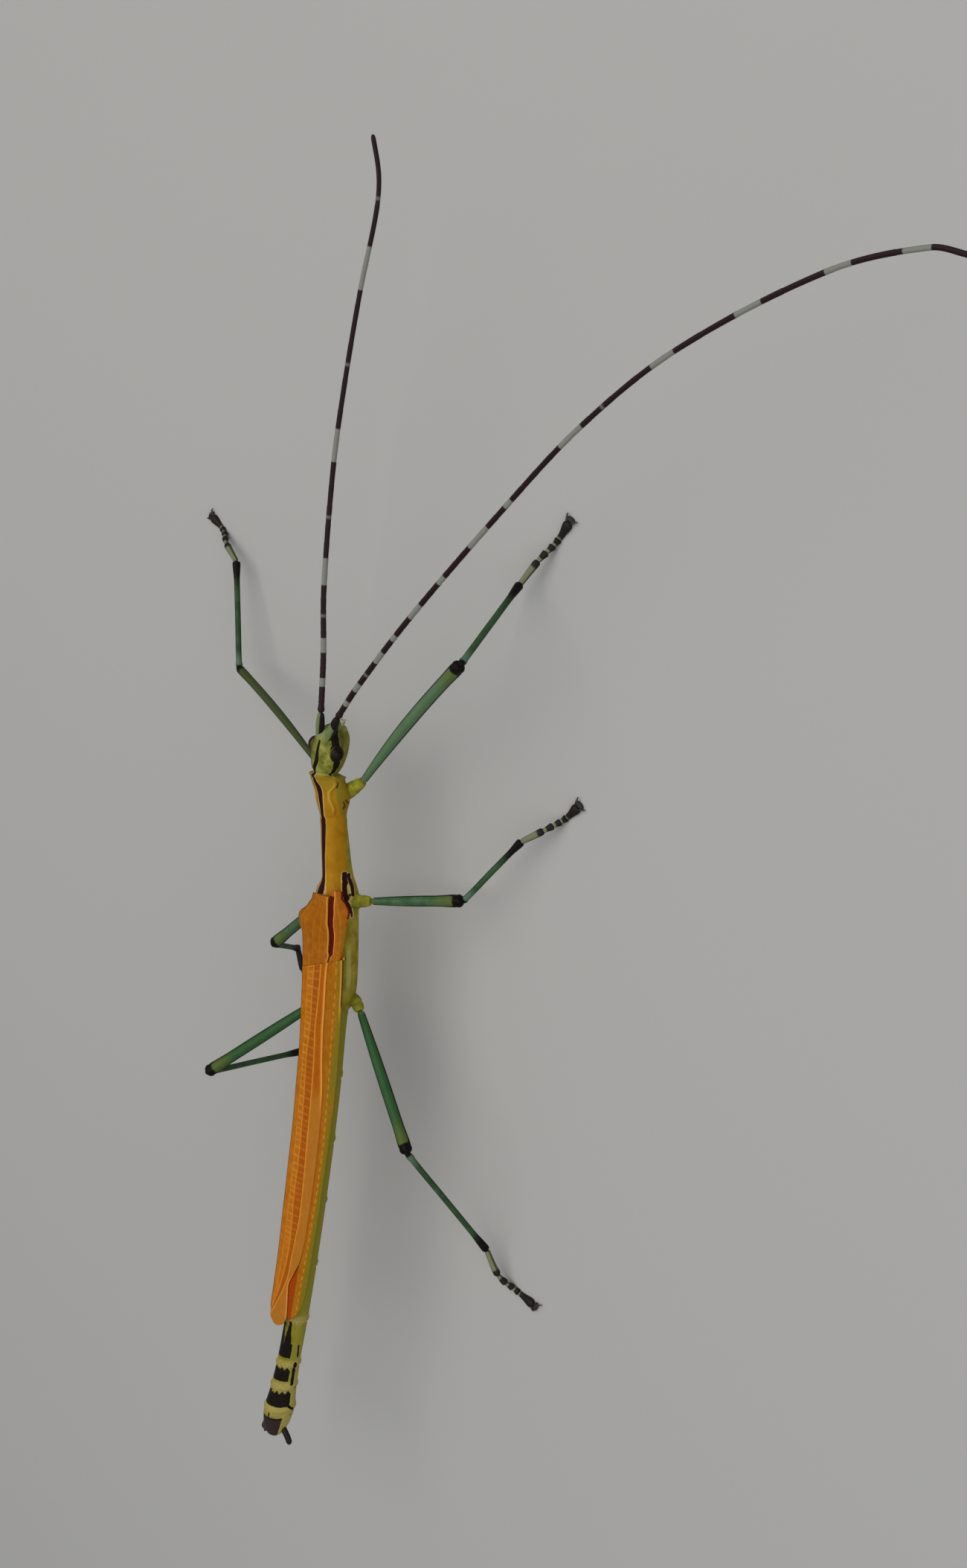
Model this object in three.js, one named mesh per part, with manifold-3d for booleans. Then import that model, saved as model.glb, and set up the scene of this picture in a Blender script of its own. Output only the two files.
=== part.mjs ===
// A male winged stick insect (subfamily Necrosciinae) standing on a flat floor.
// Millimetres. +X is the insect's right, +Y runs towards its head, +Z is up, and the floor is z = 0.
// The shapes are worked out in the insect's own frame, whose y = 0 lies between the middle legs.
// The group then moves them so that the origin is at the middle of the whole model's footprint.

import * as THREE from "three";
import { mergeVertices } from "three/addons/utils/BufferGeometryUtils.js";
import Module from "manifold-3d";

const wasm = await Module();
wasm.setup();

// ---- Driving dimensions -------------------------------------------------------------------------

const FOOTPRINT_MIDDLE = [14.6, 4.23];
const GAP = 0.08;
const THINNEST_RADIUS = 0.25;

// The body's axis from the face to the tail: places [x, y, z] of its centre line.
const BODY_AXIS = [
  [-1.5, 14.6, 8.15],
  [-1.4, 11.5, 8.15],
  [-1.46, 10.3, 8.11],
  [-1.0, 8.9, 8.02],
  [-0.78, 3.0, 7.8],
  [-0.56, -3.0, 7.55],
  [-0.86, -8.6, 7.5],
  [-1.4, -16.0, 7.9],
  [-2.45, -26.5, 8.7],
  [-4.08, -37.8, 9.5],
  [-6.05, -48.4, 10.25],
];
const BODY_ROLL = -5;

// Sections of the body: [y, half width, half height, how far the middle lies below the axis].
const BODY_SECTIONS = [
  [14.3, 0.5, 0.6, 0.45],
  [14.0, 0.82, 1.0, 0.4],
  [13.2, 1.26, 1.44, 0.3],
  [12.2, 1.47, 1.44, 0.15],
  [11.3, 1.47, 1.22, 0.02],
  [10.7, 1.26, 1.07, 0],
  [10.35, 1.1, 0.95, 0.02],
  [10.15, 1.7, 1.04, 0.05],
  [9.6, 1.6, 1.12, 0.08],
  [8.4, 1.46, 1.18, 0.1],
  [7.2, 1.1, 1.12, 0.1],
  [6.7, 1.0, 1.12, 0.1],
  [5.0, 1.0, 1.21, 0.15],
  [2.0, 1.1, 1.36, 0.25],
  [1.0, 1.46, 1.52, 0.26],
  [0.2, 1.58, 1.6, 0.28],
  [-1.5, 1.34, 1.5, 0.3],
  [-4.0, 1.28, 1.42, 0.3],
  [-6.4, 1.34, 1.38, 0.3],
  [-8.0, 1.26, 1.33, 0.28],
  [-9.3, 0.82, 1.02, 0.12],
  [-11.0, 0.77, 0.98, 0.06],
  [-13.5, 0.9, 0.97, 0],
  [-16.0, 0.96, 0.97, 0],
  [-30.0, 0.99, 0.97, 0],
  [-36.0, 1.03, 0.97, 0],
  [-40.5, 1.01, 0.97, 0],
  [-43.6, 1.15, 1.14, 0],
  [-45.4, 1.33, 1.3, 0],
  [-46.9, 1.12, 1.12, 0],
  [-47.9, 0.75, 0.85, 0],
];

// Where the body is parted: [name, front y, rear y, steps, sides].
const HEAD = ["head", 14.3, 10.32, 10, 18];
const PROTHORAX = ["prothorax", 10.24, 6.95, 6, 16];
const MESOTHORAX = ["mesothorax", 6.87, 0.36, 7, 16];
const METATHORAX = ["metathorax", 0.28, -9.2, 9, 16];
const ABDOMEN = [
  ["abdomen_front", -9.28, -20.65, 14, 12],
  ["abdomen_middle", -20.73, -31.75, 12, 12],
  ["abdomen_rear", -31.83, -41.1, 10, 12],
  ["abdomen_tip", -41.18, -47.9, 12, 14],
];
const ABDOMEN_JOINTS = [-9.2, -15.1, -20.7, -26.1, -31.8, -36.9, -41.1, -43.2, -45.3];
const JOINT_SWELL = 0.04;
const JOINT_REACH = 0.7;
// The back is squarer where the wings are hinged.
const HINGE = { y: 0.5, reach: 1.0, squareness: 0.5 };

const HEAD_YAW = 11;
const EYE = { side: 1.36, y: 12.35, up: 0.28, halfWidth: 0.52, halfLength: 0.68, halfHeight: 0.62 };
const SCAPE = { side: 0.5, y: 13.3, up: 0.66, radius: 0.36 };
const LABRUM = { y: 14.1, up: -0.6, halfWidth: 0.55, halfLength: 0.55, halfHeight: 0.75 };
const PALP = { side: 0.38, y: 14.1, up: -0.75, radius: 0.26, length: 0.8, fall: 0.1, taper: 0.6 };

// Centre lines of the antennae beyond the scape, and the places where each is parted into lengths.
const ANTENNA_RIGHT = {
  line: [
    [1.17, 15.1, 9.35],
    [3.2, 17.6, 9.3],
    [9.1, 23.4, 9.7],
    [18.8, 31.7, 10.6],
    [25.6, 37.0, 11.3],
    [33.2, 41.5, 12.0],
    [44.2, 45.5, 13.1],
    [50.8, 46.3, 13.8],
    [53.3, 45.7, 14.0],
  ],
  parted: [0, 0.14, 0.42, 0.7, 1],
};
const ANTENNA_LEFT = {
  line: [
    [-0.7, 15.3, 9.3],
    [-0.5, 19.8, 9.2],
    [0.0, 25.0, 9.6],
    [1.7, 34.3, 10.2],
    [3.4, 40.2, 10.7],
    [5.5, 46.6, 11.2],
    [7.5, 51.9, 11.6],
    [7.9, 54.2, 11.8],
    [7.5, 56.9, 12.0],
  ],
  parted: [0, 0.3, 0.65, 1],
};
const FLAGELLUM = { base: 0.27, tip: THINNEST_RADIUS, ringLength: 2.6 };

// Lengths of the leg segments, the same left and right. The trochanter is the stub at the hip, and
// bow is how far the middle of the femur lies forward of the line between its ends.
const LEG_LENGTHS = {
  fore: { trochanter: 1.8, femur: 16.05, tibia: 9.4, tarsus: 6.3, bow: 0.25 },
  mid: { trochanter: 1.15, femur: 7.85, tibia: 6.9, tarsus: 5.7, bow: 0 },
  hind: { trochanter: 1.15, femur: 12.05, tibia: 11.9, tarsus: 6.0, bow: 0 },
};
const LEG_RADII = {
  fore: { coxa: 0.7, base: 0.3, thick: 0.5, knee: 0.55, tibia: 0.3, tarsus: 0.3 },
  mid: { coxa: 0.72, base: 0.3, thick: 0.45, knee: 0.54, tibia: 0.29, tarsus: 0.3 },
  hind: { coxa: 0.7, base: 0.32, thick: 0.47, knee: 0.54, tibia: 0.29, tarsus: 0.3 },
};
// The hips: y, and the distance from the axis to the side and below it.
const HIPS = {
  fore: { y: 8.9, side: 0.95, below: 1.15 },
  mid: { y: 0.0, side: 1.5, below: 0.8 },
  hind: { y: -8.1, side: 1.22, below: 0.9 },
};
// Headings are degrees from +Y towards +X; rises are degrees above the floor's plane; curl is how far
// the middle of the tarsus bends to the right of its heading.
const POSE = {
  fore_right: { hip: [59.4, 1.5], femur: [48.8, 7.5], tibia: [-9.4, -54.7], tarsus: 37.3, curl: 0 },
  fore_left: { hip: [-43.4, 3.5], femur: [-64.9, -13.7], tibia: [-12.5, -9.8], tarsus: -51.3, curl: 0 },
  mid_right: { hip: [84.1, -22.8], femur: [84.1, -22.8], tibia: [39.8, -15.5], tarsus: 53.5, curl: 0.2 },
  mid_left: { hip: [-128.1, 0.4], femur: [-128.1, 0.4], tibia: [-124.9, -56.1], tarsus: 170, curl: 0 },
  hind_right: { hip: [148.1, 5.3], femur: [148.1, 5.3], tibia: [162.8, -32.7], tarsus: 134.3, curl: 0.9 },
  hind_left: { hip: [-131.0, 30.0], femur: [-131.0, 30.0], tibia: [-143.6, -80.9], tarsus: 178.0, curl: 0 },
};
const COXA_ROOT = { back: 0.35, side: 0.25, below: 0.8, overBase: 0.08 };
const TOE_HEIGHT = 0.17;
const FEMUR = { thickestAt: 0.6, kneeFrom: 0.85, rounding: 0.45, bluntness: 0.35, inset: 0.05 };
const TIBIA = {
  kneeSpace: 0.5, collarAt: 0.04, collarReach: 0.05, collar: 0.25, ankleFrom: 0.9, ankle: 0.18,
};
const TARSUS = { ankleSpace: 0.32, middleAt: 0.36, touchesAt: 0.66 };

// Folded wings. Stations are [y, value]; sideways places are measured from the body's axis.
const WING_THICKNESS = 0.5;
const WING_SAG = 0.02;
const WING_CROWN = 1.5;
// How high the wings' bed lies above the axis.
const WING_BED = [
  [1.4, 1.29], [0.2, 1.39], [-1.5, 1.27], [-4.0, 1.19], [-8.0, 1.12], [-12.0, 1.05], [-16.0, 1.02],
  [-37.2, 1.02],
];
// The line where the left and right wings meet.
const SUTURE = [
  [0.9, 1.47], [-0.5, 1.22], [-1.5, 1.0], [-2.2, 1.06], [-3.2, 0.98], [-4.1, 0.88], [-4.7, 0.95],
  [-5.7, 0.62], [-7.0, 0.47], [-9.2, 0.44], [-12.0, 0.5], [-15.7, 0.95], [-18.5, 1.14], [-22.0, 1.22],
  [-28.0, 1.18], [-30.6, 0.97], [-31.9, 0.47], [-33.1, 0.0], [-34.0, 0.08], [-35.5, 0.31], [-37.2, 0.5],
];
const TEGMEN_FRONT = { left: 0.78, right: 1.35 };
const TEGMEN_REAR = -5.4;
const TEGMEN_WIDTH = {
  left: [
    [0.7, 0.7], [0.3, 0.85], [0.0, 1.15], [-0.5, 1.65], [-1.2, 2.7], [-1.75, 3.05], [-2.3, 3.05],
    [-2.8, 2.8], [-3.4, 2.78], [-4.6, 2.8], [-5.4, 2.78],
  ],
  right: [
    [0.7, 2.4], [0.3, 2.6], [-0.35, 2.7], [-1.3, 2.5], [-2.1, 2.4], [-3.0, 2.28], [-4.0, 2.13],
    [-4.6, 2.05], [-5.4, 1.95],
  ],
};
// The right tegmen's inner edge runs under the left one's, and starts further out at its front.
const TEGMEN_EDGE = { reach: 0.17, corner: 0.35, cornerFrom: 0.9 };
const SHOULDER = { y: -1.6, side: -1.9, height: 0.3, reach: 1.1 };
// The wings' right margins bend down over the flank.
const DRAPE = { tegmen: { from: 1.6, fall: 0.6 }, hindwing: { from: 1.75, fall: 0.25 } };
// The joint between the tegmina and the hindwings slants, and is level at one place sideways.
const JOINT_LEAN = { slope: 0.33, level: -1.17, front: -3.2, rear: -7.6, joint: -5.45 };
const HINDWING_FRONT = -5.5;
const HINDWING_REAR = { left: -37.15, right: -36.25 };
const HINDWING_WIDTH = {
  left: [
    [-5.4, 2.88], [-7.4, 2.86], [-10.0, 2.84], [-12.5, 2.74], [-15.7, 2.66], [-19.5, 2.5], [-24.8, 2.37],
    [-30.1, 2.12], [-35.0, 1.98], [-37.4, 1.9],
  ],
  right: [[-5.4, 2.26], [-9.0, 2.24], [-16.0, 2.3], [-22.0, 2.25], [-28.0, 2.2], [-33.0, 2.1], [-36.4, 1.9]],
};
const TIP = { length: { left: 1.7, right: 2.3 }, bluntness: 0.95, middle: 0.5 };

const CERCUS = { side: 0.6, y: -46.8, radius: 0.27, taper: 0.3, reach: 1.6, sweep: 1.15, hang: 0.4 };

const CUTICLE = { roughness: 0.45, metalness: 0 };
const COLOURS = {
  head: 0x7d8a3a,
  thorax: 0xa3822c,
  flank: 0x77852e,
  tegmen: 0xb5691d,
  hindwing: 0xbb6a18,
  abdomen: 0x8a9a3c,
  tip: 0x5a5a3a,
  eye: 0x2a1712,
  antenna: 0x2c1414,
  mouth: 0xc9c6a0,
  coxa: 0x96a542,
  femur: 0x4f8f66,
  tibia: 0x2f5a4c,
  tarsus: 0x24302c,
};

// ---- Small tools --------------------------------------------------------------------------------

const vector = (x, y, z) => new THREE.Vector3(x, y, z);
const radians = THREE.MathUtils.degToRad;
const { lerp, clamp, smoothstep } = THREE.MathUtils;

// The value at y of a smooth line through stations [y, value], listed from front to rear.
function along(stations, y, column = 1) {
  const last = stations.length - 1;
  let i = 0;
  while (i < last - 1 && y < stations[i + 1][0]) {
    i += 1;
  }
  const t = clamp((stations[i][0] - y) / (stations[i][0] - stations[i + 1][0]), 0, 1);
  const before = stations[Math.max(i - 1, 0)];
  const after = stations[Math.min(i + 2, last)];
  const slope = (a, b) => (b[column] - a[column]) / (b[0] - a[0]);
  const step = stations[i + 1][0] - stations[i][0];
  const leave = i === 0 ? slope(stations[0], stations[1]) : slope(before, stations[i + 1]);
  const arrive = i + 1 === last ? slope(stations[i], stations[last]) : slope(stations[i], after);
  const t2 = t * t;
  const t3 = t2 * t;
  return (2 * t3 - 3 * t2 + 1) * stations[i][column]
    + (t3 - 2 * t2 + t) * step * leave
    + (3 * t2 - 2 * t3) * stations[i + 1][column]
    + (t3 - t2) * step * arrive;
}

// A closed tube: place(t, turn, radius) puts each point of a capped cylinder, t from 0 to 1.
function loft(place, sides, steps) {
  const form = new THREE.CylinderGeometry(1, 1, 1, sides, steps);
  const points = form.attributes.position;
  for (let i = 0; i < points.count; i += 1) {
    const radius = Math.hypot(points.getX(i), points.getZ(i));
    const turn = Math.atan2(points.getX(i), points.getZ(i));
    const { x, y, z } = place(0.5 - points.getY(i), turn, radius);
    points.setXYZ(i, x, y, z);
  }
  return form;
}

// A tube along a curve whose radius is thickness(t); side is the direction of its first axis.
function limb(curve, thickness, side, sides, steps) {
  return loft((t, turn, radius) => {
    const direction = curve.getTangentAt(t);
    const first = side.clone().addScaledVector(direction, -side.dot(direction)).normalize();
    const second = direction.clone().cross(first);
    const reach = thickness(t) * radius;
    return curve.getPointAt(t)
      .addScaledVector(first, Math.sin(turn) * reach)
      .addScaledVector(second, Math.cos(turn) * reach);
  }, sides, steps);
}

function solidOf(geometry) {
  const bare = geometry.clone();
  bare.deleteAttribute("normal");
  bare.deleteAttribute("uv");
  const merged = mergeVertices(bare, 1e-4);
  return new wasm.Manifold(new wasm.Mesh({
    numProp: 3,
    vertProperties: new Float32Array(merged.attributes.position.array),
    triVerts: new Uint32Array(merged.index.array),
  }));
}

function geometryOf(solid) {
  const { vertProperties, triVerts } = solid.getMesh();
  const geometry = new THREE.BufferGeometry();
  geometry.setAttribute("position", new THREE.BufferAttribute(vertProperties, 3));
  geometry.setIndex(new THREE.BufferAttribute(triVerts, 1));
  geometry.computeVertexNormals();
  return geometry;
}

const insect = new THREE.Group();
insect.position.set(-FOOTPRINT_MIDDLE[0], -FOOTPRINT_MIDDLE[1], 0);

function add(name, geometry, colour) {
  const mesh = new THREE.Mesh(geometry, new THREE.MeshStandardMaterial({ color: colour, ...CUTICLE }));
  mesh.name = name;
  insect.add(mesh);
}

// ---- Body ---------------------------------------------------------------------------------------

const AXIS_X = BODY_AXIS.map(([x, y]) => [y, x]);
const AXIS_Z = BODY_AXIS.map(([, y, z]) => [y, z]);

// A point of the body's frame: sideways and upwards from the axis, which is rolled to the left.
function fromAxis(y, sideways, upwards) {
  const roll = radians(BODY_ROLL);
  return vector(
    along(AXIS_X, y) + sideways * Math.cos(roll) + upwards * Math.sin(roll),
    y,
    along(AXIS_Z, y) - sideways * Math.sin(roll) + upwards * Math.cos(roll),
  );
}

// The abdomen swells a little at each joint between its segments.
function jointSwell(y) {
  return ABDOMEN_JOINTS.reduce((sum, joint) => {
    return sum + JOINT_SWELL * Math.exp(-(((y - joint) / JOINT_REACH) ** 2));
  }, 1);
}

function bodyPart([, front, rear, steps, sides], grow = 0) {
  return loft((t, turn, radius) => {
    const y = lerp(front + grow, rear - grow, t);
    const halfWidth = along(BODY_SECTIONS, y) * jointSwell(y) + grow;
    const halfHeight = along(BODY_SECTIONS, y, 2) * jointSwell(y) + grow;
    const drop = along(BODY_SECTIONS, y, 3);
    const top = Math.cos(turn) > 0 ? Math.exp(-(((y - HINGE.y) / HINGE.reach) ** 2)) : 0;
    const power = 1 - HINGE.squareness * top;
    const across = Math.sign(Math.sin(turn)) * Math.abs(Math.sin(turn)) ** power;
    const upwards = Math.sign(Math.cos(turn)) * Math.abs(Math.cos(turn)) ** power;
    return fromAxis(y, across * radius * halfWidth, upwards * radius * halfHeight - drop);
  }, sides, steps);
}

// ---- Head ---------------------------------------------------------------------------------------

// The head turns about the neck, so its own pieces are placed through this function.
const NECK_Y = HEAD[2];
function turnedHead(geometry) {
  const neck = fromAxis(NECK_Y, 0, 0);
  return geometry
    .translate(-neck.x, -neck.y, -neck.z)
    .rotateZ(-radians(HEAD_YAW))
    .translate(neck.x, neck.y, neck.z);
}

function ellipsoid(centre, halfWidth, halfLength, halfHeight, across, down) {
  return new THREE.SphereGeometry(1, across, down)
    .scale(halfWidth, halfLength, halfHeight)
    .translate(centre.x, centre.y, centre.z);
}

function eye(side, grow) {
  const centre = fromAxis(EYE.y, side * EYE.side, EYE.up);
  return ellipsoid(centre, EYE.halfWidth + grow, EYE.halfLength + grow, EYE.halfHeight + grow, 12, 8);
}

const headSolid = solidOf(turnedHead(bodyPart(HEAD))).subtract(solidOf(bodyPart(PROTHORAX, GAP)));
const headGrown = solidOf(turnedHead(bodyPart(HEAD, GAP)));

function buildHead() {
  const sockets = [-1, 1].map((side) => solidOf(turnedHead(eye(side, GAP))));
  add("head", geometryOf(headSolid.subtract(sockets[0]).subtract(sockets[1])), COLOURS.head);
  add("eye_left", turnedHead(eye(-1, 0)), COLOURS.eye);
  add("eye_right", turnedHead(eye(1, 0)), COLOURS.eye);
}

function buildMouth() {
  const labrum = fromAxis(LABRUM.y, 0, LABRUM.up);
  let mouth = solidOf(turnedHead(
    ellipsoid(labrum, LABRUM.halfWidth, LABRUM.halfLength, LABRUM.halfHeight, 10, 8),
  ));
  for (const side of [-1, 1]) {
    const base = fromAxis(PALP.y, side * PALP.side, PALP.up);
    const tip = base.clone().add(vector(0, PALP.length, -PALP.fall));
    const palp = limb(new THREE.LineCurve3(base, tip), (t) => {
      return PALP.radius * Math.sqrt(1 - PALP.taper * t * t);
    }, vector(1, 0, 0), 8, 4);
    mouth = mouth.add(solidOf(turnedHead(palp)));
  }
  add("mouthparts", geometryOf(mouth.subtract(headGrown)), COLOURS.mouth);
}

function buildAntenna(side, antenna) {
  const word = side < 0 ? "left" : "right";
  const socket = fromAxis(SCAPE.y, side * SCAPE.side, SCAPE.up);
  const root = turnedHead(new THREE.BufferGeometry().setFromPoints([socket]));
  const base = new THREE.Vector3().fromBufferAttribute(root.attributes.position, 0);
  const line = new THREE.CatmullRomCurve3(antenna.line.map((place) => vector(...place)));
  const start = line.getPointAt(0);
  const scape = limb(new THREE.LineCurve3(base, start), () => SCAPE.radius, vector(1, 0, 0), 10, 2);
  add(`antenna_${word}_scape`, geometryOf(solidOf(scape).subtract(headGrown)), COLOURS.antenna);
  const length = line.getLength();
  antenna.parted.slice(1).forEach((end, i) => {
    const from = antenna.parted[i] + GAP / length;
    const stretch = new THREE.Curve();
    stretch.getPoint = (t) => line.getPointAt(lerp(from, end, t));
    const thickness = (t) => lerp(FLAGELLUM.base, FLAGELLUM.tip, lerp(from, end, t));
    const steps = Math.round((length * (end - from)) / FLAGELLUM.ringLength);
    add(`antenna_${word}_${i + 1}`, limb(stretch, thickness, vector(0, 0, 1), 6, steps), COLOURS.antenna);
  });
}

// ---- Legs ---------------------------------------------------------------------------------------

function heading(degreesRight, degreesUp) {
  const turn = radians(degreesRight);
  const rise = radians(degreesUp);
  return vector(Math.sin(turn) * Math.cos(rise), Math.cos(turn) * Math.cos(rise), Math.sin(rise));
}

function buildLeg(pair, word, host) {
  const side = word === "left" ? -1 : 1;
  const lengths = LEG_LENGTHS[pair];
  const radii = LEG_RADII[pair];
  const pose = POSE[`${pair}_${word}`];
  const { y, side: out, below } = HIPS[pair];
  const hip = fromAxis(y, side * out, -below);
  const femurWay = heading(...pose.femur);
  const tibiaWay = heading(...pose.tibia);
  const stubEnd = hip.clone().addScaledVector(heading(...pose.hip), lengths.trochanter);
  const knee = stubEnd.clone().addScaledVector(femurWay, lengths.femur);
  const ankle = knee.clone().addScaledVector(tibiaWay, lengths.tibia);
  const fall = TOE_HEIGHT - ankle.z;
  const level = Math.sqrt(lengths.tarsus ** 2 - fall ** 2);
  const toe = ankle.clone().addScaledVector(heading(pose.tarsus, 0), level);
  toe.z = TOE_HEIGHT;
  const hinge = femurWay.clone().cross(tibiaWay).normalize();

  // The coxa and trochanter: a short stub out of the thorax along the start of the femur.
  const root = fromAxis(y - COXA_ROOT.back, side * out * COXA_ROOT.side, -below * COXA_ROOT.below);
  const stub = new THREE.CatmullRomCurve3([root, hip, stubEnd]);
  const stubTip = radii.base + COXA_ROOT.overBase;
  const coxa = limb(stub, (t) => lerp(radii.coxa, stubTip, t * t), vector(0, 0, 1), 10, 5);
  add(`${pair}_${word}_coxa`, geometryOf(solidOf(coxa).subtract(host)), COLOURS.coxa);

  // The femur: slim at its base and thickest near the knee.
  const femurStart = stubEnd.clone().addScaledVector(femurWay, GAP);
  const femurEnd = knee.clone().addScaledVector(femurWay, -FEMUR.inset);
  const forward = vector(-side * femurWay.y, side * femurWay.x, 0).normalize();
  const bend = femurStart.clone().lerp(femurEnd, 0.5).addScaledVector(forward, 2 * lengths.bow);
  const femur = limb(new THREE.QuadraticBezierCurve3(femurStart, bend, femurEnd), (t) => {
    const swelling = Math.sin(Math.min(t / FEMUR.thickestAt, 1) * Math.PI * 0.5);
    const nearKnee = clamp((t - FEMUR.kneeFrom) / (1 - FEMUR.kneeFrom), 0, 1);
    const end = Math.sqrt(clamp((1 - t) * lengths.femur / FEMUR.rounding, FEMUR.bluntness, 1));
    return lerp(lerp(radii.base, radii.thick, swelling), radii.knee, nearKnee) * end;
  }, hinge, 8, 9);
  add(`${pair}_${word}_femur`, femur, COLOURS.femur);

  // The tibia: a straight rod from below the knee to the ankle.
  const tibiaStart = knee.clone().addScaledVector(tibiaWay, TIBIA.kneeSpace);
  const tibia = limb(new THREE.LineCurve3(tibiaStart, ankle), (t) => {
    const collar = TIBIA.collar * Math.exp(-(((t - TIBIA.collarAt) / TIBIA.collarReach) ** 2));
    const swelling = TIBIA.ankle * clamp((t - TIBIA.ankleFrom) / (1 - TIBIA.ankleFrom), 0, 1);
    return radii.tibia * (1 + collar + swelling);
  }, hinge, 8, 8);
  add(`${pair}_${word}_tibia`, tibia, COLOURS.tibia);

  // The tarsus slopes from the ankle to the floor, where its last joints rest on a small flat.
  const across = heading(pose.tarsus, 0).cross(vector(0, 0, 1)).normalize();
  const tarsusStart = ankle.clone().lerp(toe, TARSUS.ankleSpace / lengths.tarsus);
  const middle = tarsusStart.clone().lerp(toe, TARSUS.middleAt).addScaledVector(across, pose.curl);
  const touch = ankle.clone().lerp(toe, TARSUS.touchesAt).addScaledVector(across, pose.curl);
  touch.z = TOE_HEIGHT;
  const tarsusLine = new THREE.CatmullRomCurve3([tarsusStart, middle, touch, toe]);
  const tarsus = limb(tarsusLine, () => radii.tarsus, across, 8, 9);
  const soles = tarsus.attributes.position;
  for (let i = 0; i < soles.count; i += 1) {
    soles.setZ(i, Math.max(soles.getZ(i), 0));
  }
  add(`${pair}_${word}_tarsus`, tarsus, COLOURS.tarsus);
}

// ---- Wings --------------------------------------------------------------------------------------

// A curved plate: place(u, s, top) puts each point of a box, u from left to right, s from front to rear.
function plate(place, across, lengthwise) {
  const form = new THREE.BoxGeometry(1, 1, 1, across, lengthwise, 1);
  const points = form.attributes.position;
  for (let i = 0; i < points.count; i += 1) {
    const { x, y, z } = place(points.getX(i) + 0.5, 0.5 - points.getY(i), points.getZ(i) > 0);
    points.setXYZ(i, x, y, z);
  }
  return form;
}

// How high a wing's underside lies above the axis, clear of the highest body section below it.
function wingFloor(y, sideways) {
  return along(WING_BED, y) + GAP + WING_SAG * (WING_CROWN - sideways ** 2);
}

// A wing's point at y and sideways, leaned so that the joint between fore and hind wings slants.
function onWing(y, sideways, up, { from, fall }) {
  const ahead = smoothstep(JOINT_LEAN.front - y, 0, JOINT_LEAN.front - JOINT_LEAN.joint)
    * smoothstep(y, JOINT_LEAN.rear, JOINT_LEAN.joint);
  const lean = JOINT_LEAN.slope * (sideways - JOINT_LEAN.level) * ahead;
  return fromAxis(y + lean, sideways, up - fall * Math.max(sideways - from, 0) ** 2);
}

function buildTegmen(word) {
  const side = word === "left" ? -1 : 1;
  const widths = TEGMEN_WIDTH[word];
  add(`tegmen_${word}`, plate((u, s, top) => {
    const y = lerp(TEGMEN_FRONT[word], TEGMEN_REAR, s);
    const corner = TEGMEN_EDGE.corner * smoothstep(y, TEGMEN_EDGE.cornerFrom, TEGMEN_FRONT.right);
    const inner = along(SUTURE, y) + side * GAP * 0.5 - TEGMEN_EDGE.reach + corner;
    const outer = side * along(widths, y);
    const sideways = side < 0 ? lerp(outer, inner, u) : lerp(inner, outer, u);
    const away = Math.hypot(y - SHOULDER.y, sideways - SHOULDER.side) / SHOULDER.reach;
    const boss = SHOULDER.height * Math.exp(-(away ** 2));
    const up = wingFloor(y, sideways) + boss + (top ? WING_THICKNESS : 0);
    return onWing(y, sideways, up, DRAPE.tegmen);
  }, 6, 15), COLOURS.tegmen);
}

function buildHindwing(word) {
  const side = word === "left" ? -1 : 1;
  const rear = HINDWING_REAR[word];
  const blunt = TIP.length[word];
  add(`hindwing_${word}`, plate((u, s, top) => {
    const y = lerp(HINDWING_FRONT, rear, s);
    const tip = clamp((rear + blunt - y) / blunt, 0, TIP.bluntness);
    const narrow = Math.sqrt(1 - tip * tip);
    const inner = along(SUTURE, y) + side * GAP * 0.5;
    const outer = side * along(HINDWING_WIDTH[word], y);
    const middle = lerp(inner, outer, TIP.middle);
    const edge = side < 0 ? lerp(outer, inner, u) : lerp(inner, outer, u);
    const sideways = lerp(middle, edge, narrow);
    const up = wingFloor(y, sideways) + (top ? WING_THICKNESS : 0);
    return onWing(y, sideways, up, DRAPE.hindwing);
  }, 4, 34), COLOURS.hindwing);
}

// ---- Tail ---------------------------------------------------------------------------------------

function buildCercus(side, word, host) {
  const base = fromAxis(CERCUS.y, side * CERCUS.side, 0);
  const spread = side * (CERCUS.side + CERCUS.sweep);
  const bend = fromAxis(CERCUS.y - CERCUS.reach * 0.5, spread, -CERCUS.hang * 0.25);
  const tip = fromAxis(CERCUS.y - CERCUS.reach, spread, -CERCUS.hang);
  const line = new THREE.QuadraticBezierCurve3(base, bend, tip);
  const thickness = (t) => CERCUS.radius * Math.sqrt(1 - CERCUS.taper * t);
  const cercus = limb(line, thickness, vector(0, 0, 1), 8, 7);
  add(`cercus_${word}`, geometryOf(solidOf(cercus).subtract(host)), COLOURS.tip);
}

// ---- Assembly -----------------------------------------------------------------------------------

buildHead();
buildMouth();
buildAntenna(-1, ANTENNA_LEFT);
buildAntenna(1, ANTENNA_RIGHT);
add(PROTHORAX[0], bodyPart(PROTHORAX), COLOURS.thorax);
add(MESOTHORAX[0], bodyPart(MESOTHORAX), COLOURS.thorax);
add(METATHORAX[0], bodyPart(METATHORAX), COLOURS.flank);
for (const length of ABDOMEN) {
  add(length[0], bodyPart(length), COLOURS.abdomen);
}

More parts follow.
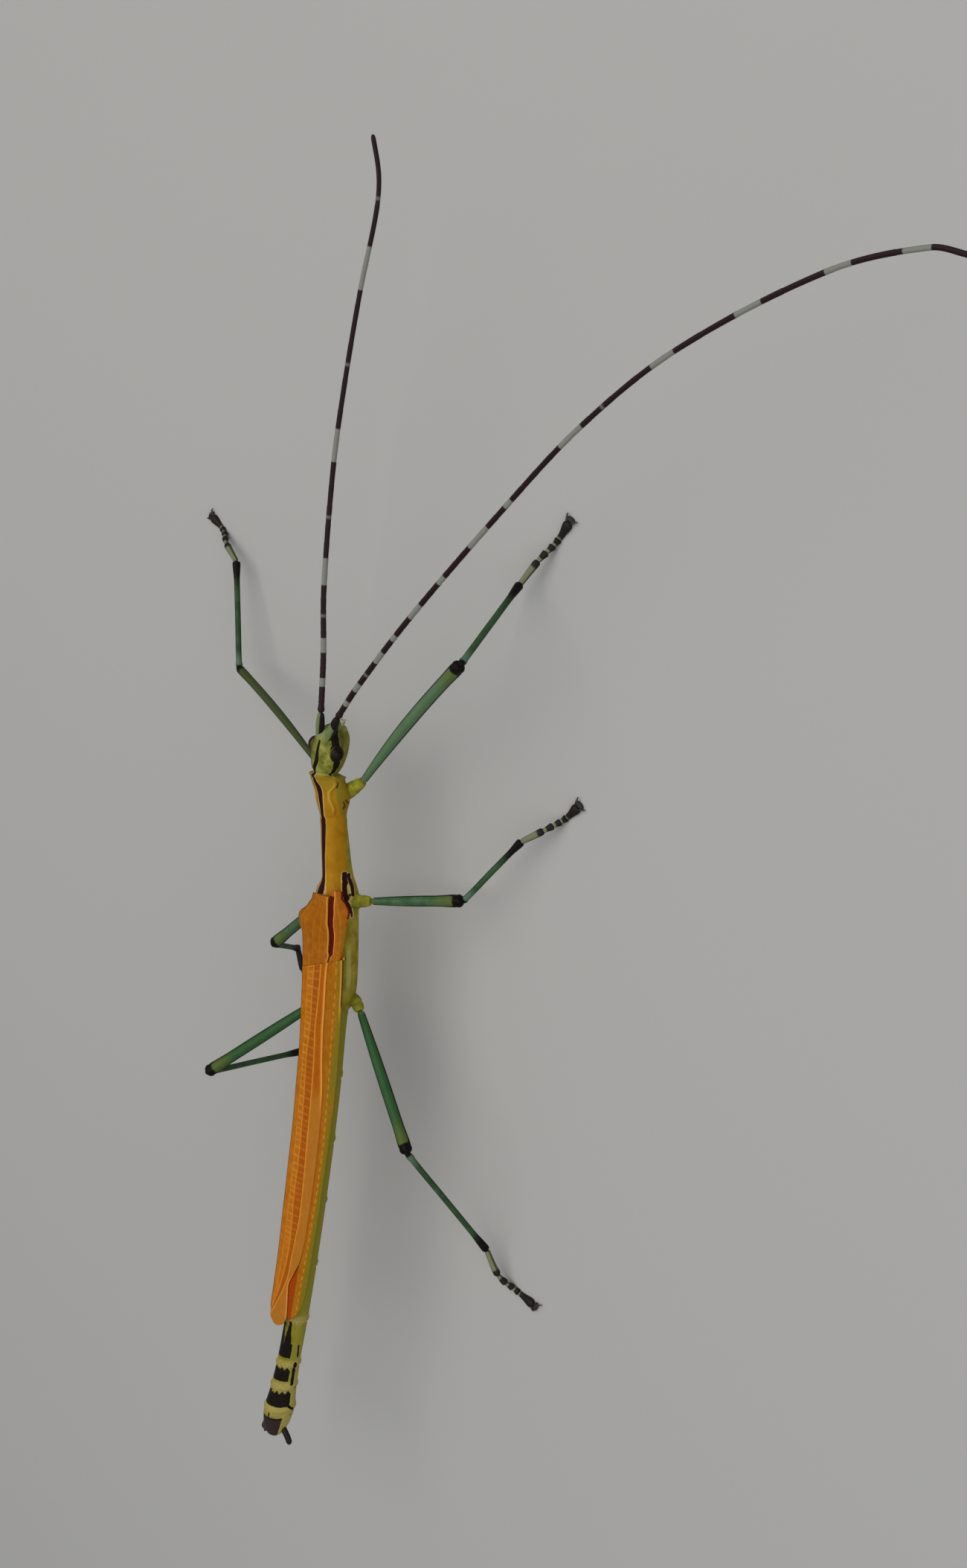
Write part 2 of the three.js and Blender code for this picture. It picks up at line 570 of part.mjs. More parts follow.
const thorax = [PROTHORAX, MESOTHORAX, METATHORAX]
  .map((part) => solidOf(bodyPart(part, GAP)))
  .reduce((whole, part) => whole.add(part))
  .add(solidOf(bodyPart(ABDOMEN[0], GAP)))
  .add(headGrown);
for (const pair of ["fore", "mid", "hind"]) {
  for (const word of ["left", "right"]) {
    buildLeg(pair, word, thorax);
  }
}
for (const word of ["left", "right"]) {
  buildTegmen(word);
  buildHindwing(word);
}
const tail = solidOf(bodyPart(ABDOMEN[3], GAP));
buildCercus(-1, "left", tail);
buildCercus(1, "right", tail);

export default insect;
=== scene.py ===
import math

import bpy
import numpy as np
from mathutils import Matrix


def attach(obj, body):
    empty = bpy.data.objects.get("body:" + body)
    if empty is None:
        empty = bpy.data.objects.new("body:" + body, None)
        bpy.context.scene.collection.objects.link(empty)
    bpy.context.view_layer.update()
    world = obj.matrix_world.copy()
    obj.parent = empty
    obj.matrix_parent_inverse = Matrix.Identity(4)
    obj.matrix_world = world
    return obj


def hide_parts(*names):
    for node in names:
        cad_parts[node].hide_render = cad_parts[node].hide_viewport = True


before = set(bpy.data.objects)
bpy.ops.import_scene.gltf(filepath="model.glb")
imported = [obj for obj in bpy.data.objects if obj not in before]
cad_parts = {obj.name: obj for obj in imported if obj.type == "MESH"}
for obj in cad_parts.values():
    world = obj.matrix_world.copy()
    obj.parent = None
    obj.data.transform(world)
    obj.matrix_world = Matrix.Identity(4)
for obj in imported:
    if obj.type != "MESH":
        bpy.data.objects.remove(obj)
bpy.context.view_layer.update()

# ---- Skin: head, thorax, abdomen ---------------------------------------------------------------
# The insect's cuticle is one thin horny shell from the face to the tail. It is ringed at the joints,
# grooved at the neck and behind the front legs, and coloured in lengthwise bands and dark patches.

MM = 0.001  # in metres; every size below without another unit is in mm
MIDDLE = np.array([14.6, 4.23, 0.0])  # the insect's own frame has its y = 0 between the middle legs

# Points [x, y, z] of the line that the body lies on, from the face to the tail.
BODY_AXIS = np.array([
    [-1.5, 14.6, 8.15], [-1.4, 11.5, 8.15], [-1.46, 10.3, 8.11], [-1.0, 8.9, 8.02], [-0.78, 3.0, 7.8],
    [-0.56, -3.0, 7.55], [-0.86, -8.6, 7.5], [-1.4, -16.0, 7.9], [-2.45, -26.5, 8.7],
    [-4.08, -37.8, 9.5], [-6.05, -48.4, 10.25],
])
BODY_ROLL = math.radians(-5)
HEAD_YAW = math.radians(-11)
NECK_Y = 10.3
NECK_BEND = (9.9, 10.8)  # where the head's turn begins and is full

# Sections: y, half width, half height, how far the middle lies below the axis.
BODY_SECTIONS = np.array([
    [14.3, 0.45, 0.5, 0.5], [14.1, 0.72, 0.88, 0.42], [13.7, 1.02, 1.24, 0.36],
    [13.2, 1.24, 1.42, 0.3], [12.2, 1.45, 1.42, 0.15], [11.3, 1.45, 1.2, 0.02],
    [10.7, 1.24, 1.05, 0], [10.37, 1.0, 0.9, 0.02], [10.27, 1.3, 0.95, 0.04],
    [10.15, 1.68, 1.02, 0.05], [9.6, 1.58, 1.1, 0.08], [8.4, 1.36, 1.14, 0.1],
    [7.2, 1.06, 1.1, 0.1], [6.7, 0.98, 1.1, 0.1], [5.0, 0.98, 1.19, 0.15], [2.0, 1.08, 1.34, 0.25],
    [1.0, 1.44, 1.5, 0.26], [0.2, 1.56, 1.58, 0.28], [-1.5, 1.32, 1.48, 0.3],
    [-4.0, 1.26, 1.4, 0.3], [-6.4, 1.31, 1.36, 0.3], [-8.0, 1.25, 1.3, 0.28], [-8.8, 1.08, 1.14, 0.18],
    [-9.5, 0.8, 1.0, 0.1],
    [-11.0, 0.75, 0.95, 0.06], [-13.5, 0.88, 0.95, 0], [-16.0, 0.94, 0.95, 0],
    [-30.0, 0.98, 0.95, 0], [-36.0, 1.02, 0.95, 0], [-40.5, 1.0, 0.95, 0],
    [-43.6, 1.14, 1.12, 0], [-45.4, 1.32, 1.28, 0], [-46.9, 1.1, 1.1, 0],
    [-47.5, 0.94, 0.98, 0], [-47.85, 0.8, 0.84, 0],
])
HINGE = {"y": 0.5, "reach": 1.0, "squareness": 0.5}  # the back is squarer about the wing hinges
# The pronotum's side ridges: their turn, and the stretches of y in which they swing in and out.
MARGIN = {"turn": 1.1, "in": (9.7, 8.9, 0.5), "out": (8.6, 7.4, 0.33)}
JOINTS = np.array([-9.2, -15.1, -20.7, -26.1, -31.8, -36.9, -41.1, -43.2, -45.3])  # of the abdomen


def smooth(at, places, values):
    """The value at each of at of a line through values at rising places: a cubic in each stretch,
    whose slope at a place is that of the line between its two neighbours."""
    at, places, values = (np.asarray(a, float) for a in (at, places, values))
    i = np.clip(np.searchsorted(places, at, side="right") - 1, 0, len(places) - 2)
    slope = np.empty_like(values)
    run = places.reshape((-1,) + (1,) * (values.ndim - 1))
    slope[1:-1] = (values[2:] - values[:-2]) / (run[2:] - run[:-2])
    slope[0] = (values[1] - values[0]) / (run[1] - run[0])
    slope[-1] = (values[-1] - values[-2]) / (run[-1] - run[-2])
    step = places[i + 1] - places[i]
    t = np.clip((at - places[i]) / step, 0, 1)
    if values.ndim > 1:
        t, step = t[..., None], step[..., None]
    return ((2 * t**3 - 3 * t**2 + 1) * values[i] + (t**3 - 2 * t**2 + t) * step * slope[i]
            + (3 * t**2 - 2 * t**3) * values[i + 1] + (t**3 - t**2) * step * slope[i + 1])


def along(stations, y, column=1):
    """smooth() for stations [y, value, ...] that are listed from the head towards the tail."""
    stations = np.asarray(stations, float)
    return smooth(-np.asarray(y, float), -stations[:, 0], stations[:, column])


def rise(x, start, end):
    """0 before start, 1 after end, and 3t^2 - 2t^3 between them; end may lie before start."""
    t = np.clip((x - start) / (end - start), 0, 1)
    return t * t * (3 - 2 * t)


def hump(x, middle, reach):
    """A bell: exp(-((x - middle) / reach)^2)."""
    return np.exp(-(((x - middle) / reach) ** 2))


def fuller(wave, power):
    """A wave whose sign stays and whose size is raised to a power, which fills it out below 1."""
    return np.sign(wave) * np.abs(wave) ** power


def least(*fields):
    """The smallest of fields at each point."""
    return np.min(np.broadcast_arrays(*fields), axis=0)


def around(columns):
    """The turns of a ring's points: even steps over -pi to pi."""
    return np.linspace(-math.pi, math.pi, columns, endpoint=False)


def from_axis(y, side, up):
    """Points side and up from the body's axis at y, in a section rolled 5 degrees to the left."""
    centre = smooth(-np.asarray(y, float), -BODY_AXIS[:, 1], BODY_AXIS[:, [0, 2]])
    return np.stack(np.broadcast_arrays(
        centre[..., 0] + side * math.cos(BODY_ROLL) + up * math.sin(BODY_ROLL), y,
        centre[..., 1] - side * math.sin(BODY_ROLL) + up * math.cos(BODY_ROLL)), -1)


def turned_head(points, y):
    """points turned about the neck by the head's yaw, which comes in over the neck's bend."""
    neck = from_axis(NECK_Y, 0.0, 0.0)
    turn = HEAD_YAW * rise(y, *NECK_BEND)
    x, along_y = points[..., 0] - neck[0], points[..., 1] - neck[1]
    return np.stack([neck[0] + x * np.cos(turn) - along_y * np.sin(turn),
                     neck[1] + x * np.sin(turn) + along_y * np.cos(turn), points[..., 2]], -1)


class Shell:
    """Closed forms gathered into one mesh. Each form is a grid of rows of rings, and a point at the
    middle of its first and last ring closes it. Each point keeps a lay, three numbers that its
    material reads as coordinates on the surface, and marks, three more that say what colour is due."""

    def __init__(self):
        self.points, self.faces, self.slots = [], [], []
        self.fields = {"lay": [], "marks": []}
        self.count = 0

    def add(self, rings, lay, marks=(0.0, 0.0, 0.0), slot=0, outward=True):
        """Adds one form: quads between each ring and the next, and fans at both ends."""
        rows, columns = rings.shape[:2]
        grid = np.arange(rows * columns).reshape(rows, columns) + self.count
        ahead = np.roll(grid, -1, axis=1)
        quads = np.stack([grid[:-1], ahead[:-1], ahead[1:], grid[1:]], -1).reshape(-1, 4)
        first, last = self.count + rows * columns, self.count + rows * columns + 1
        caps = np.concatenate([
            np.stack([ahead[0], grid[0], np.full(columns, first)], -1),
            np.stack([grid[-1], ahead[-1], np.full(columns, last)], -1)])
        if not outward:
            quads, caps = quads[:, ::-1], caps[:, ::-1]
        self.points += [rings.reshape(-1, 3), rings[0].mean(0)[None], rings[-1].mean(0)[None]]
        for key, field in (("lay", lay), ("marks", marks)):
            field = np.broadcast_to(np.stack(np.broadcast_arrays(*field), -1), (rows, columns, 3))
            self.fields[key] += [field.reshape(-1, 3), field[0].mean(0)[None], field[-1].mean(0)[None]]
        self.faces += quads.tolist() + caps.tolist()
        self.slots += [slot] * (len(quads) + len(caps))
        self.count += rows * columns + 2
        return self

    def piece(self, name, *materials):
        """An object of all forms so far, its points measured from the middle of the frame."""
        mesh = bpy.data.meshes.new(name)
        points = (np.concatenate(self.points) - MIDDLE) * MM
        mesh.from_pydata(points.tolist(), [], self.faces)
        for material in materials:
            mesh.materials.append(material)
        mesh.polygons.foreach_set("material_index", np.array(self.slots, np.int32))
        mesh.polygons.foreach_set("use_smooth", np.ones(len(self.faces), bool))
        for key, field in self.fields.items():
            values = np.concatenate(field).astype(np.float32)
            mesh.attributes.new(key, "FLOAT_VECTOR", "POINT").data.foreach_set("vector", values.ravel())
        mesh.validate()
        mesh.update()
        made = bpy.data.objects.new(name, mesh)
        bpy.context.collection.objects.link(made)
        return made


def body_relief(y, turn):
    """What stands proud of the body's smooth section, in mm, at y and turn (0 on the back, positive
    to the right): ridges and grooves, each a bell in y times a wave in turn."""
    back, side, beside = np.cos(turn), np.abs(np.sin(turn)), np.abs(turn)
    inward, outward = MARGIN["in"], MARGIN["out"]
    margin = MARGIN["turn"] - inward[2] * rise(y, *inward[:2]) + outward[2] * rise(y, *outward[:2])
    proud = np.zeros(np.broadcast(y, turn).shape)
    # Pronotum: a raised front rim with a knob at each side, a groove across at its middle and one
    # along it, a ridge along each side margin, and below that a swollen plate over the hip.
    proud += 0.04 * hump(y, 10.13, 0.12) - 0.05 * hump(y, 9.9, 0.1) * rise(back, -0.3, 0.3)
    proud += 0.24 * hump(y, 10.2, 0.22) * hump(beside, 2.1, 0.22)
    proud -= 0.02 * hump(y, 8.75, 0.14) * rise(back, 0.3, 0.8)
    proud -= 0.03 * hump(turn, 0, 0.09) * rise(y, 6.9, 7.3) * rise(y, 10.0, 9.6)
    proud += 0.09 * hump(beside, margin, 0.1) * rise(y, 6.9, 7.4) * rise(y, 10.2, 9.7)
    proud -= 0.05 * hump(beside, margin + 0.22, 0.1) * rise(y, 6.9, 7.4) * rise(y, 10.0, 9.5)
    proud += 0.26 * hump(beside, 2.1, 0.5) * hump(y, 8.4, 1.0)
    proud -= 0.05 * hump(y + 0.3 * beside, 8.9, 0.12) * hump(beside, 2.0, 0.45)
    # The joints behind the pronotum and before the wings.
    proud -= 0.04 * hump(y, 6.9, 0.07) * rise(back, -0.6, 0)
    proud += 0.02 * hump(y, 6.55, 0.2)
    # Mesonotum: a low keel between two shallow troughs, and swollen hind corners.
    keel = rise(y, 0.2, 1.2) * rise(y, 6.8, 6.2)
    proud += (0.02 * hump(turn, 0, 0.12) - 0.02 * hump(beside, 0.35, 0.14)) * keel
    proud += 0.05 * hump(beside, 0.8, 0.25) * hump(y, 0.9, 0.5)
    # Side plates of the thorax, parted by slanting grooves.
    flank = rise(y, 6.9, 6.4) * rise(side, 0.5, 0.8) * rise(-back, -0.6, -0.2)
    for start in (5.6, 2.2, -2.4, -5.4):
        slanting = y - start + 0.9 * (beside - 1.6)
        proud -= 0.06 * flank * hump(slanting, 0, 0.11)
    proud -= 0.05 * hump(beside, 2.05, 0.07) * rise(y, 6.8, 6.2) * rise(y, -9.0, -8.2)
    # Abdomen: each ring's hind edge stands over the front of the next; a fold runs along each side.
    for joint in JOINTS:
        proud += (0.05 + 0.07 * side) * hump(y, joint + 0.25, 0.24) - 0.08 * hump(y, joint - 0.08, 0.1)
    belly = rise(y, -8.8, -10.5)
    proud -= 0.05 * belly * hump(beside, 1.95, 0.09) - 0.02 * belly * hump(beside, 1.78, 0.1)
    # Anal ring: two lobes on its hind edge.
    proud += 0.12 * rise(y, -46.9, -47.5) * hump(beside, 1.2, 0.5)
    # Head: cheek grooves behind the eyes, a crease along the crown, and brows beside the feelers.
    crown = rise(y, 10.45, 10.9)
    proud -= 0.025 * crown * hump(turn, 0, 0.07) * rise(y, 12.6, 12.0)
    proud -= 0.03 * crown * hump(beside, 1.95, 0.12) * rise(y, 12.0, 11.4)
    proud += 0.05 * hump(beside, 0.55, 0.22) * hump(y, 13.35, 0.35)
    proud -= 0.05 * hump(y, 13.75, 0.12) * rise(back, 0.0, 0.6)
    return proud


def body_rings(y, turn):
    """The body's outer skin: at each y an ellipse of the section's half width and height, squarer
    on the back at the wing hinges, plus the relief along its radius, carried on the body's axis."""
    width = along(BODY_SECTIONS, y)
    height = along(BODY_SECTIONS, y, 2)
    power = 1 - HINGE["squareness"] * hump(y, HINGE["y"], HINGE["reach"]) * rise(np.cos(turn), 0, 0.05)
    proud = body_relief(y, turn)
    side = fuller(np.sin(turn), power) * width + np.sin(turn) * proud
    up = fuller(np.cos(turn), power) * height - along(BODY_SECTIONS, y, 3) + np.cos(turn) * proud
    # The hind edge of the last ring runs out into two lobes with a notch between them.
    lobes = rise(y, -46.6, -47.6) * (0.3 + 0.12 * hump(turn, -0.25, 0.3) - 0.3 * hump(turn, -0.95, 0.35)
                                     - 0.1 * hump(turn, 0.8, 0.5))
    return turned_head(from_axis(y + lobes, side, up), y)


# The dark line down the back: where its middle lies and its half width, in turn, at each y.
BACK_LINE = [
    [13.3, 0.1, 0.08], [12.5, 0.1, 0.1], [11.5, 0.06, 0.15], [10.5, -0.22, 0.19], [9.9, -0.27, 0.15],
    [9.3, -0.1, 0.24],
    [8.2, -0.03, 0.19], [7.0, -0.02, 0.2], [6.75, 0.06, 0.26], [4.7, -0.05, 0.27], [3.3, -0.16, 0.27],
    [2.0, -0.2, 0.26], [0.9, -0.2, 0.2], [0.3, -0.24, 0.2],
]
# Dark streaks and spots on both sides: points [y, turn] of a line, and its half width in mm.
STREAKS = [
    ([[14.1, 0.86], [13.4, 1.08], [12.9, 1.16]], 0.29), ([[12.7, 1.14], [12.2, 1.12]], 0.36),  # feeler to eye
    ([[11.8, 1.36], [11.4, 1.34]], 0.32), ([[11.3, 1.32], [10.9, 1.3]], 0.22),  # behind the eye
    ([[10.9, 1.3], [10.4, 1.2]], 0.13),
    ([[2.25, 1.49], [1.2, 1.34], [0.35, 1.42]], 0.2),  # two before the wing hinge
    ([[2.1, 1.84], [1.3, 1.8], [0.65, 1.7]], 0.2), ([[0.5, 1.36], [-0.6, 1.5], [-1.15, 1.57]], 0.12),
    ([[-39.0, 1.46], [-40.1, 1.6]], 0.1), ([[-40.7, 1.42], [-42.6, 1.46]], 0.17),
    ([[-43.05, 1.8], [-43.2, 1.9]], 0.14), ([[-44.7, 1.45], [-45.1, 1.8]], 0.13),
    ([[-45.6, 1.25], [-45.62, 1.9]], 0.03),
]
# Brown marks on the plates over the front hips.
HIP_SPOTS = [
    ([[9.75, 1.35], [9.4, 1.18]], 0.09), ([[8.3, 1.75], [8.0, 1.95]], 0.1),
    ([[8.15, 1.6], [7.75, 1.78]], 0.07), ([[7.75, 1.62], [7.6, 1.66]], 0.07),
]
# Black saddles on the tail: front, hind edge, half width in turn, and how deep the front is jagged.
SADDLES = [(-38.85, -40.1, 0.88, 0.25), (-41.1, -42.3, 1.08, 0.35), (-43.35, -44.68, 1.52, 0.3)]
# How far down each side, in turn, the ochre of the thorax's back reaches at each y.
OCHRE_EDGE = [
    [10.2, 1.2], [8.8, 1.0], [7.2, 1.4], [6.5, 1.95], [5.3, 1.84], [4.0, 1.74], [2.7, 1.66], [0.5, 1.35],
    [-3.0, 1.0], [-8.9, 0.85],
]
FAR = 9.0  # further than any mark reaches


def line_distance(y, turn, points, radius):
    """The distance in mm from (y, turn times radius) to the line through points, by clamped
    projection on each of its stretches."""
    best = np.full(np.broadcast(y, turn).shape, FAR)
    for (y0, t0), (y1, t1) in zip(points[:-1], points[1:]):
        dy, dx = y1 - y0, (t1 - t0) * radius
        u = np.clip(((y - y0) * dy + (turn - t0) * radius * dx) / (dy * dy + dx * dx), 0, 1)
        best = np.minimum(best, np.hypot(y - y0 - u * dy, (turn - t0) * radius - u * dx))
    return best


def body_marks(y, turn):
    """Three numbers for the body's colours: mm inside the dark marks (negative outside), mm inside
    the dark line down the back, and mm that the ochre back reaches beyond the point."""
    radius = along(BODY_SECTIONS, y)
    across = np.abs(turn)
    marks = [half - line_distance(y, across, points, radius) for points, half in STREAKS]
    for front, rear, half, jag in SADDLES:
        teeth = jag * (np.abs(np.mod(across * 2.2 + 0.25, 1.0) - 0.5) - 0.25) * 2
        marks.append(least(front + teeth - y, y - rear, (half - across) * radius))
    # Two narrow streaks run into the first saddle, and the last ring is dark, with a mark on its back.
    narrow = 0.15 + 0.2 * rise(y, -36.9, -38.8) - np.abs(across - 0.36) * radius
    marks.append(least(narrow, -36.6 - y, y + 39.2))
    marks.append(least(-45.75 - y, (1.12 - across) * radius, 0.3))
    marks.append(least(0.09 - np.abs(turn - 0.12) * radius, -45.3 - y, y + 46))
    line = (along(BACK_LINE, y, 2) - np.abs(turn - along(BACK_LINE, y))) * radius
    line = least(line, y - 0.36, 13.2 - y)
    return np.max(marks, axis=0), line, (along(OCHRE_EDGE, y) - across) * radius


def hip_spots(y, turn):
    """How many mm a point is inside the brown marks over the hips, negative outside."""
    radius, across = along(BODY_SECTIONS, y), np.abs(turn)
    return np.max([half - line_distance(y, across, points, radius) for points, half in HIP_SPOTS], axis=0)


# The mesh's rows crowd where the markings are fine, at the head and the tail.
BODY_COLUMNS = 108
BODY_ROWS = np.concatenate([
    np.linspace(14.3, 9.6, 104), np.linspace(9.55, 6.5, 62), np.linspace(6.4, -9.0, 150),
    np.linspace(-9.1, -36.0, 120), np.linspace(-36.1, -47.85, 118)])
body_y = BODY_ROWS[:, None]
body_turn = around(BODY_COLUMNS)[None, :]
skin = Shell().add(body_rings(body_y, body_turn), (body_turn, body_y, hip_spots(body_y, body_turn)),
                   marks=body_marks(body_y, body_turn))


def rgb(red, green, blue):
    """A colour of 0 to 255 screen values, as the linear numbers that shaders take."""
    return tuple((v / 12.92 if v <= 0.04045 else ((v + 0.055) / 1.055) ** 2.4)
                 for v in (red / 255, green / 255, blue / 255)) + (1.0,)


def operation(name, swapped=False):
    """A method that adds one Math node on a value and another one, which comes first if swapped."""
    def method(self, other=0.0):
        first, second = (other, self) if swapped else (self, other)
        return self.paint.node("ShaderNodeMath", {"operation": name}, {0: first, 1: second})
    return method


class Shade:
    """An output socket in a paint's node tree; sums on it add Math nodes."""

    def __init__(self, paint, socket):
        self.paint, self.socket = paint, socket

    __add__ = __radd__ = operation("ADD")
    __mul__ = __rmul__ = operation("MULTIPLY")
    __sub__, __rsub__ = operation("SUBTRACT"), operation("SUBTRACT", swapped=True)
    __abs__, largest = operation("ABSOLUTE"), operation("MAXIMUM")
    sine, cosine = operation("SINE"), operation("COSINE")

    def rise(self, start, end):
        """A soft step from 0 where this is start to 1 where it is end."""
        return self.paint.node("ShaderNodeMapRange", {"interpolation_type": "SMOOTHSTEP"}, {
            "Value": self, "From Min": start, "From Max": end, "To Min": 0.0, "To Max": 1.0})

    def band(self, start, end, soft):
        """1 where this is between start and end, with edges that are soft wide."""
        return self.rise(start - soft / 2, start + soft / 2) * self.rise(end + soft / 2, end - soft / 2)

    def blend(self, first, second):
        """The colour first where this is 0, and second where it is 1."""
        return self.paint.node("ShaderNodeMix", {"data_type": "RGBA"}, {0: self, 6: first, 7: second}, 2)

    def coats(self, *coats):
        """This colour with coats laid over it in turn: each is how much it covers, and its colour."""
        colour = self
        for cover, coat in coats:
            colour = cover.blend(colour, coat)
        return colour


class Paint:
    """A material on one Principled shader. Numbers that are the same all over are set on its sockets."""

    def __init__(self, name, **constants):
        self.material = bpy.data.materials.new(name)
        self.material.use_nodes = True
        self.tree = self.material.node_tree
        self.shader = self.tree.nodes["Principled BSDF"]
        for socket, value in constants.items():
            self.shader.inputs[socket.replace("_", " ").title().replace("Ior", "IOR")].default_value = value

    def node(self, kind, settings, inputs, output=0):
        """A new node, first its settings and then its sockets' values or links; gives one output."""
        made = self.tree.nodes.new(kind)
        for key, value in settings.items():
            setattr(made, key, value)
        for key, value in inputs.items():
            if isinstance(value, Shade):
                self.tree.links.new(value.socket, made.inputs[key])
            else:
                made.inputs[key].default_value = value
        return Shade(self, made.outputs[output])

    def field(self, name="lay"):
        """The three numbers of the piece's lay or marks."""
        vector = self.node("ShaderNodeAttribute", {"attribute_name": name}, {}, "Vector")
        return [self.node("ShaderNodeSeparateXYZ", {}, {0: vector}, i) for i in range(3)]

    def place(self):
        """Where a point lies in the piece, in metres."""
        return self.node("ShaderNodeTexCoord", {}, {}, "Object")

    def noise(self, size, detail=2.0, rough=0.5):
        """Cloudy noise from 0 to 1 whose clouds are about size mm across."""
        return self.node("ShaderNodeTexNoise", {}, {
            "Vector": self.place(), "Scale": 1 / (size * MM), "Detail": detail, "Roughness": rough})

    def speckle(self, size):
        """Distance to the nearest of scattered points about size mm apart, in sizes."""
        return self.node("ShaderNodeTexVoronoi", {}, {
            "Vector": self.place(), "Scale": 1 / (size * MM)}, "Distance")

    def finish(self, colour, rough, height=None, depth=0.02):
        """Links what varies; height is a relief in units of depth mm."""
        for socket, value in (("Base Color", colour), ("Roughness", rough)):
            self.tree.links.new(value.socket, self.shader.inputs[socket])
        if height is not None:
            bump = self.node("ShaderNodeBump", {}, {
                "Height": height, "Distance": depth * MM, "Strength": 1.0}, "Normal")
            self.tree.links.new(bump.socket, self.shader.inputs["Normal"])
        return self.material


cuticle = Paint("cuticle", ior=1.5, specular_ior_level=0.1)
turn, y, brown = cuticle.field()
dark, line, ochre = cuticle.field("marks")
sideways = abs(turn)
clouds = cuticle.noise(0.9, 3.0)
fine = cuticle.noise(0.12)
wander = (cuticle.noise(0.35) - 0.5) * 0.16
ragged_y = y + wander  # y with a wandering error, for borders that are not ruled straight

# Ground colours, from the head back: green, ochre over olive flanks, orange-brown, yellow-green.
cheek = (sideways + wander).band(1.25, 1.7, 0.2) * y.rise(12.5, 12.9)
head_tone = clouds.rise(0.3, 0.7).blend(rgb(96, 102, 26), rgb(158, 154, 74)).coats(
    (sideways.rise(1.3, 1.9) * 0.7, rgb(118, 108, 26)),
    (cheek * 0.75, rgb(62, 62, 22)),
    # painted shade: the head's left side is painted a darker olive
    (turn.rise(-0.15, -0.5) * 0.6, rgb(66, 62, 20)),
    (y.rise(13.0, 13.6) * sideways.rise(0.7, 0.5), rgb(132, 142, 88)))
thorax_tone = (clouds + fine * 0.3).rise(0.35, 0.95).blend(rgb(160, 110, 6), rgb(176, 126, 14))
flank_tone = clouds.rise(0.3, 0.75).blend(rgb(130, 116, 22), rgb(162, 148, 52)).coats(
    (y.rise(6.7, 7.2), rgb(140, 112, 20)))
# The abdomen's flanks are painted a lighter yellow-green: painted light that lifts the shade on them.
ring_tone = clouds.rise(0.35, 0.7).blend(rgb(112, 108, 18), rgb(136, 126, 36)).coats(
    (sideways.rise(0.7, 1.1), rgb(138, 132, 42)))
pale_streak = (sideways + wander * 0.5).band(1.2, 1.5, 0.14) * y.band(-7.2, -3.8, 0.8)
colour = (ochre + wander).rise(0.0, -0.22).blend(thorax_tone, flank_tone).coats(
    (pale_streak * 0.65, rgb(178, 172, 98)),
    (ragged_y.rise(6.9, 10.1) * 0.6, rgb(128, 112, 24)),
    (ragged_y.rise(1.6, 0.5) * ochre.rise(-0.1, 0.2), rgb(166, 104, 18)),
    (ragged_y.rise(-8.9, -9.6), ring_tone),
    (y.rise(-40.0, -44.0) * 0.3, rgb(176, 168, 98)),
    (ragged_y.rise(10.15, 10.35), head_tone))
# The side ridges of the pronotum are pale, and the marks below them brown. Olive freckles dot the
# crown. Each hind edge of the last rings is pale, and so are the lower flanks of the very last.
inward, outward = MARGIN["in"], MARGIN["out"]
crest = abs(sideways - MARGIN["turn"] + y.rise(*inward[:2]) * inward[2] - y.rise(*outward[:2]) * outward[2])
crest = crest.rise(0.14, 0.03) * y.band(7.45, 9.7, 0.5)
pale_edge = (y.rise(-37.0, -42.5) * sideways.rise(1.2, 1.5)).largest(
    y.rise(-45.2, -45.4) * sideways.rise(1.05, 1.2) * 1.2)
PALE_JOINTS = (-36.9, -41.1, -43.2, -45.35)
for joint in PALE_JOINTS:
    pale_edge = pale_edge.largest(ragged_y.band(joint - 0.1, joint + 0.75, 0.25))
freckle = cuticle.speckle(0.62).rise(0.3, 0.16) * cuticle.noise(1.3, 1.0).rise(0.42, 0.55)
freckle = freckle * y.rise(10.3, 10.6) * sideways.rise(0.3, 0.42)
# Cream borders, then the marks inside them: maroon along the thorax, black on the head and tail.
edging = (line.largest(dark) + wander * 0.4).rise(-0.12, -0.04) * y.rise(-36.0, -34.0)
edging = edging * (0.25 + 0.5 * abs(y - 4.6).rise(2.0, 2.6)) * (1 - y.rise(10.3, 10.6) * 0.93)
mark_tone = (y.rise(-20.0, -10.0) * y.rise(10.6, 9.9)).blend(rgb(20, 14, 8), rgb(44, 8, 8))
colour = colour.coats(
    (crest * 0.6, rgb(204, 160, 56)),
    ((brown + wander).rise(-0.03, 0.03) * 0.85, rgb(72, 44, 10)),
    (pale_edge * 0.75 * fine.rise(0.25, 0.6), rgb(178, 156, 88)),
    (freckle * 0.7, rgb(84, 78, 18)),
    (edging, rgb(212, 188, 118)),
    ((line + wander * 0.3).rise(-0.02, 0.02), mark_tone),
    ((dark + wander).rise(-0.02, 0.03), mark_tone),
    (ragged_y.rise(-45.75, -46.1) * dark.rise(-0.02, 0.05) * 0.8, rgb(56, 44, 42)))
WRINKLE = 0.09  # from one fine wrinkle across the body to the next
wrinkles = (y * (2 * math.pi / WRINKLE)).sine()
skin_paint = cuticle.finish(colour, 0.4 + fine * 0.2, fine * 0.6 + clouds * 0.4 + wrinkles * 0.04, 0.03)
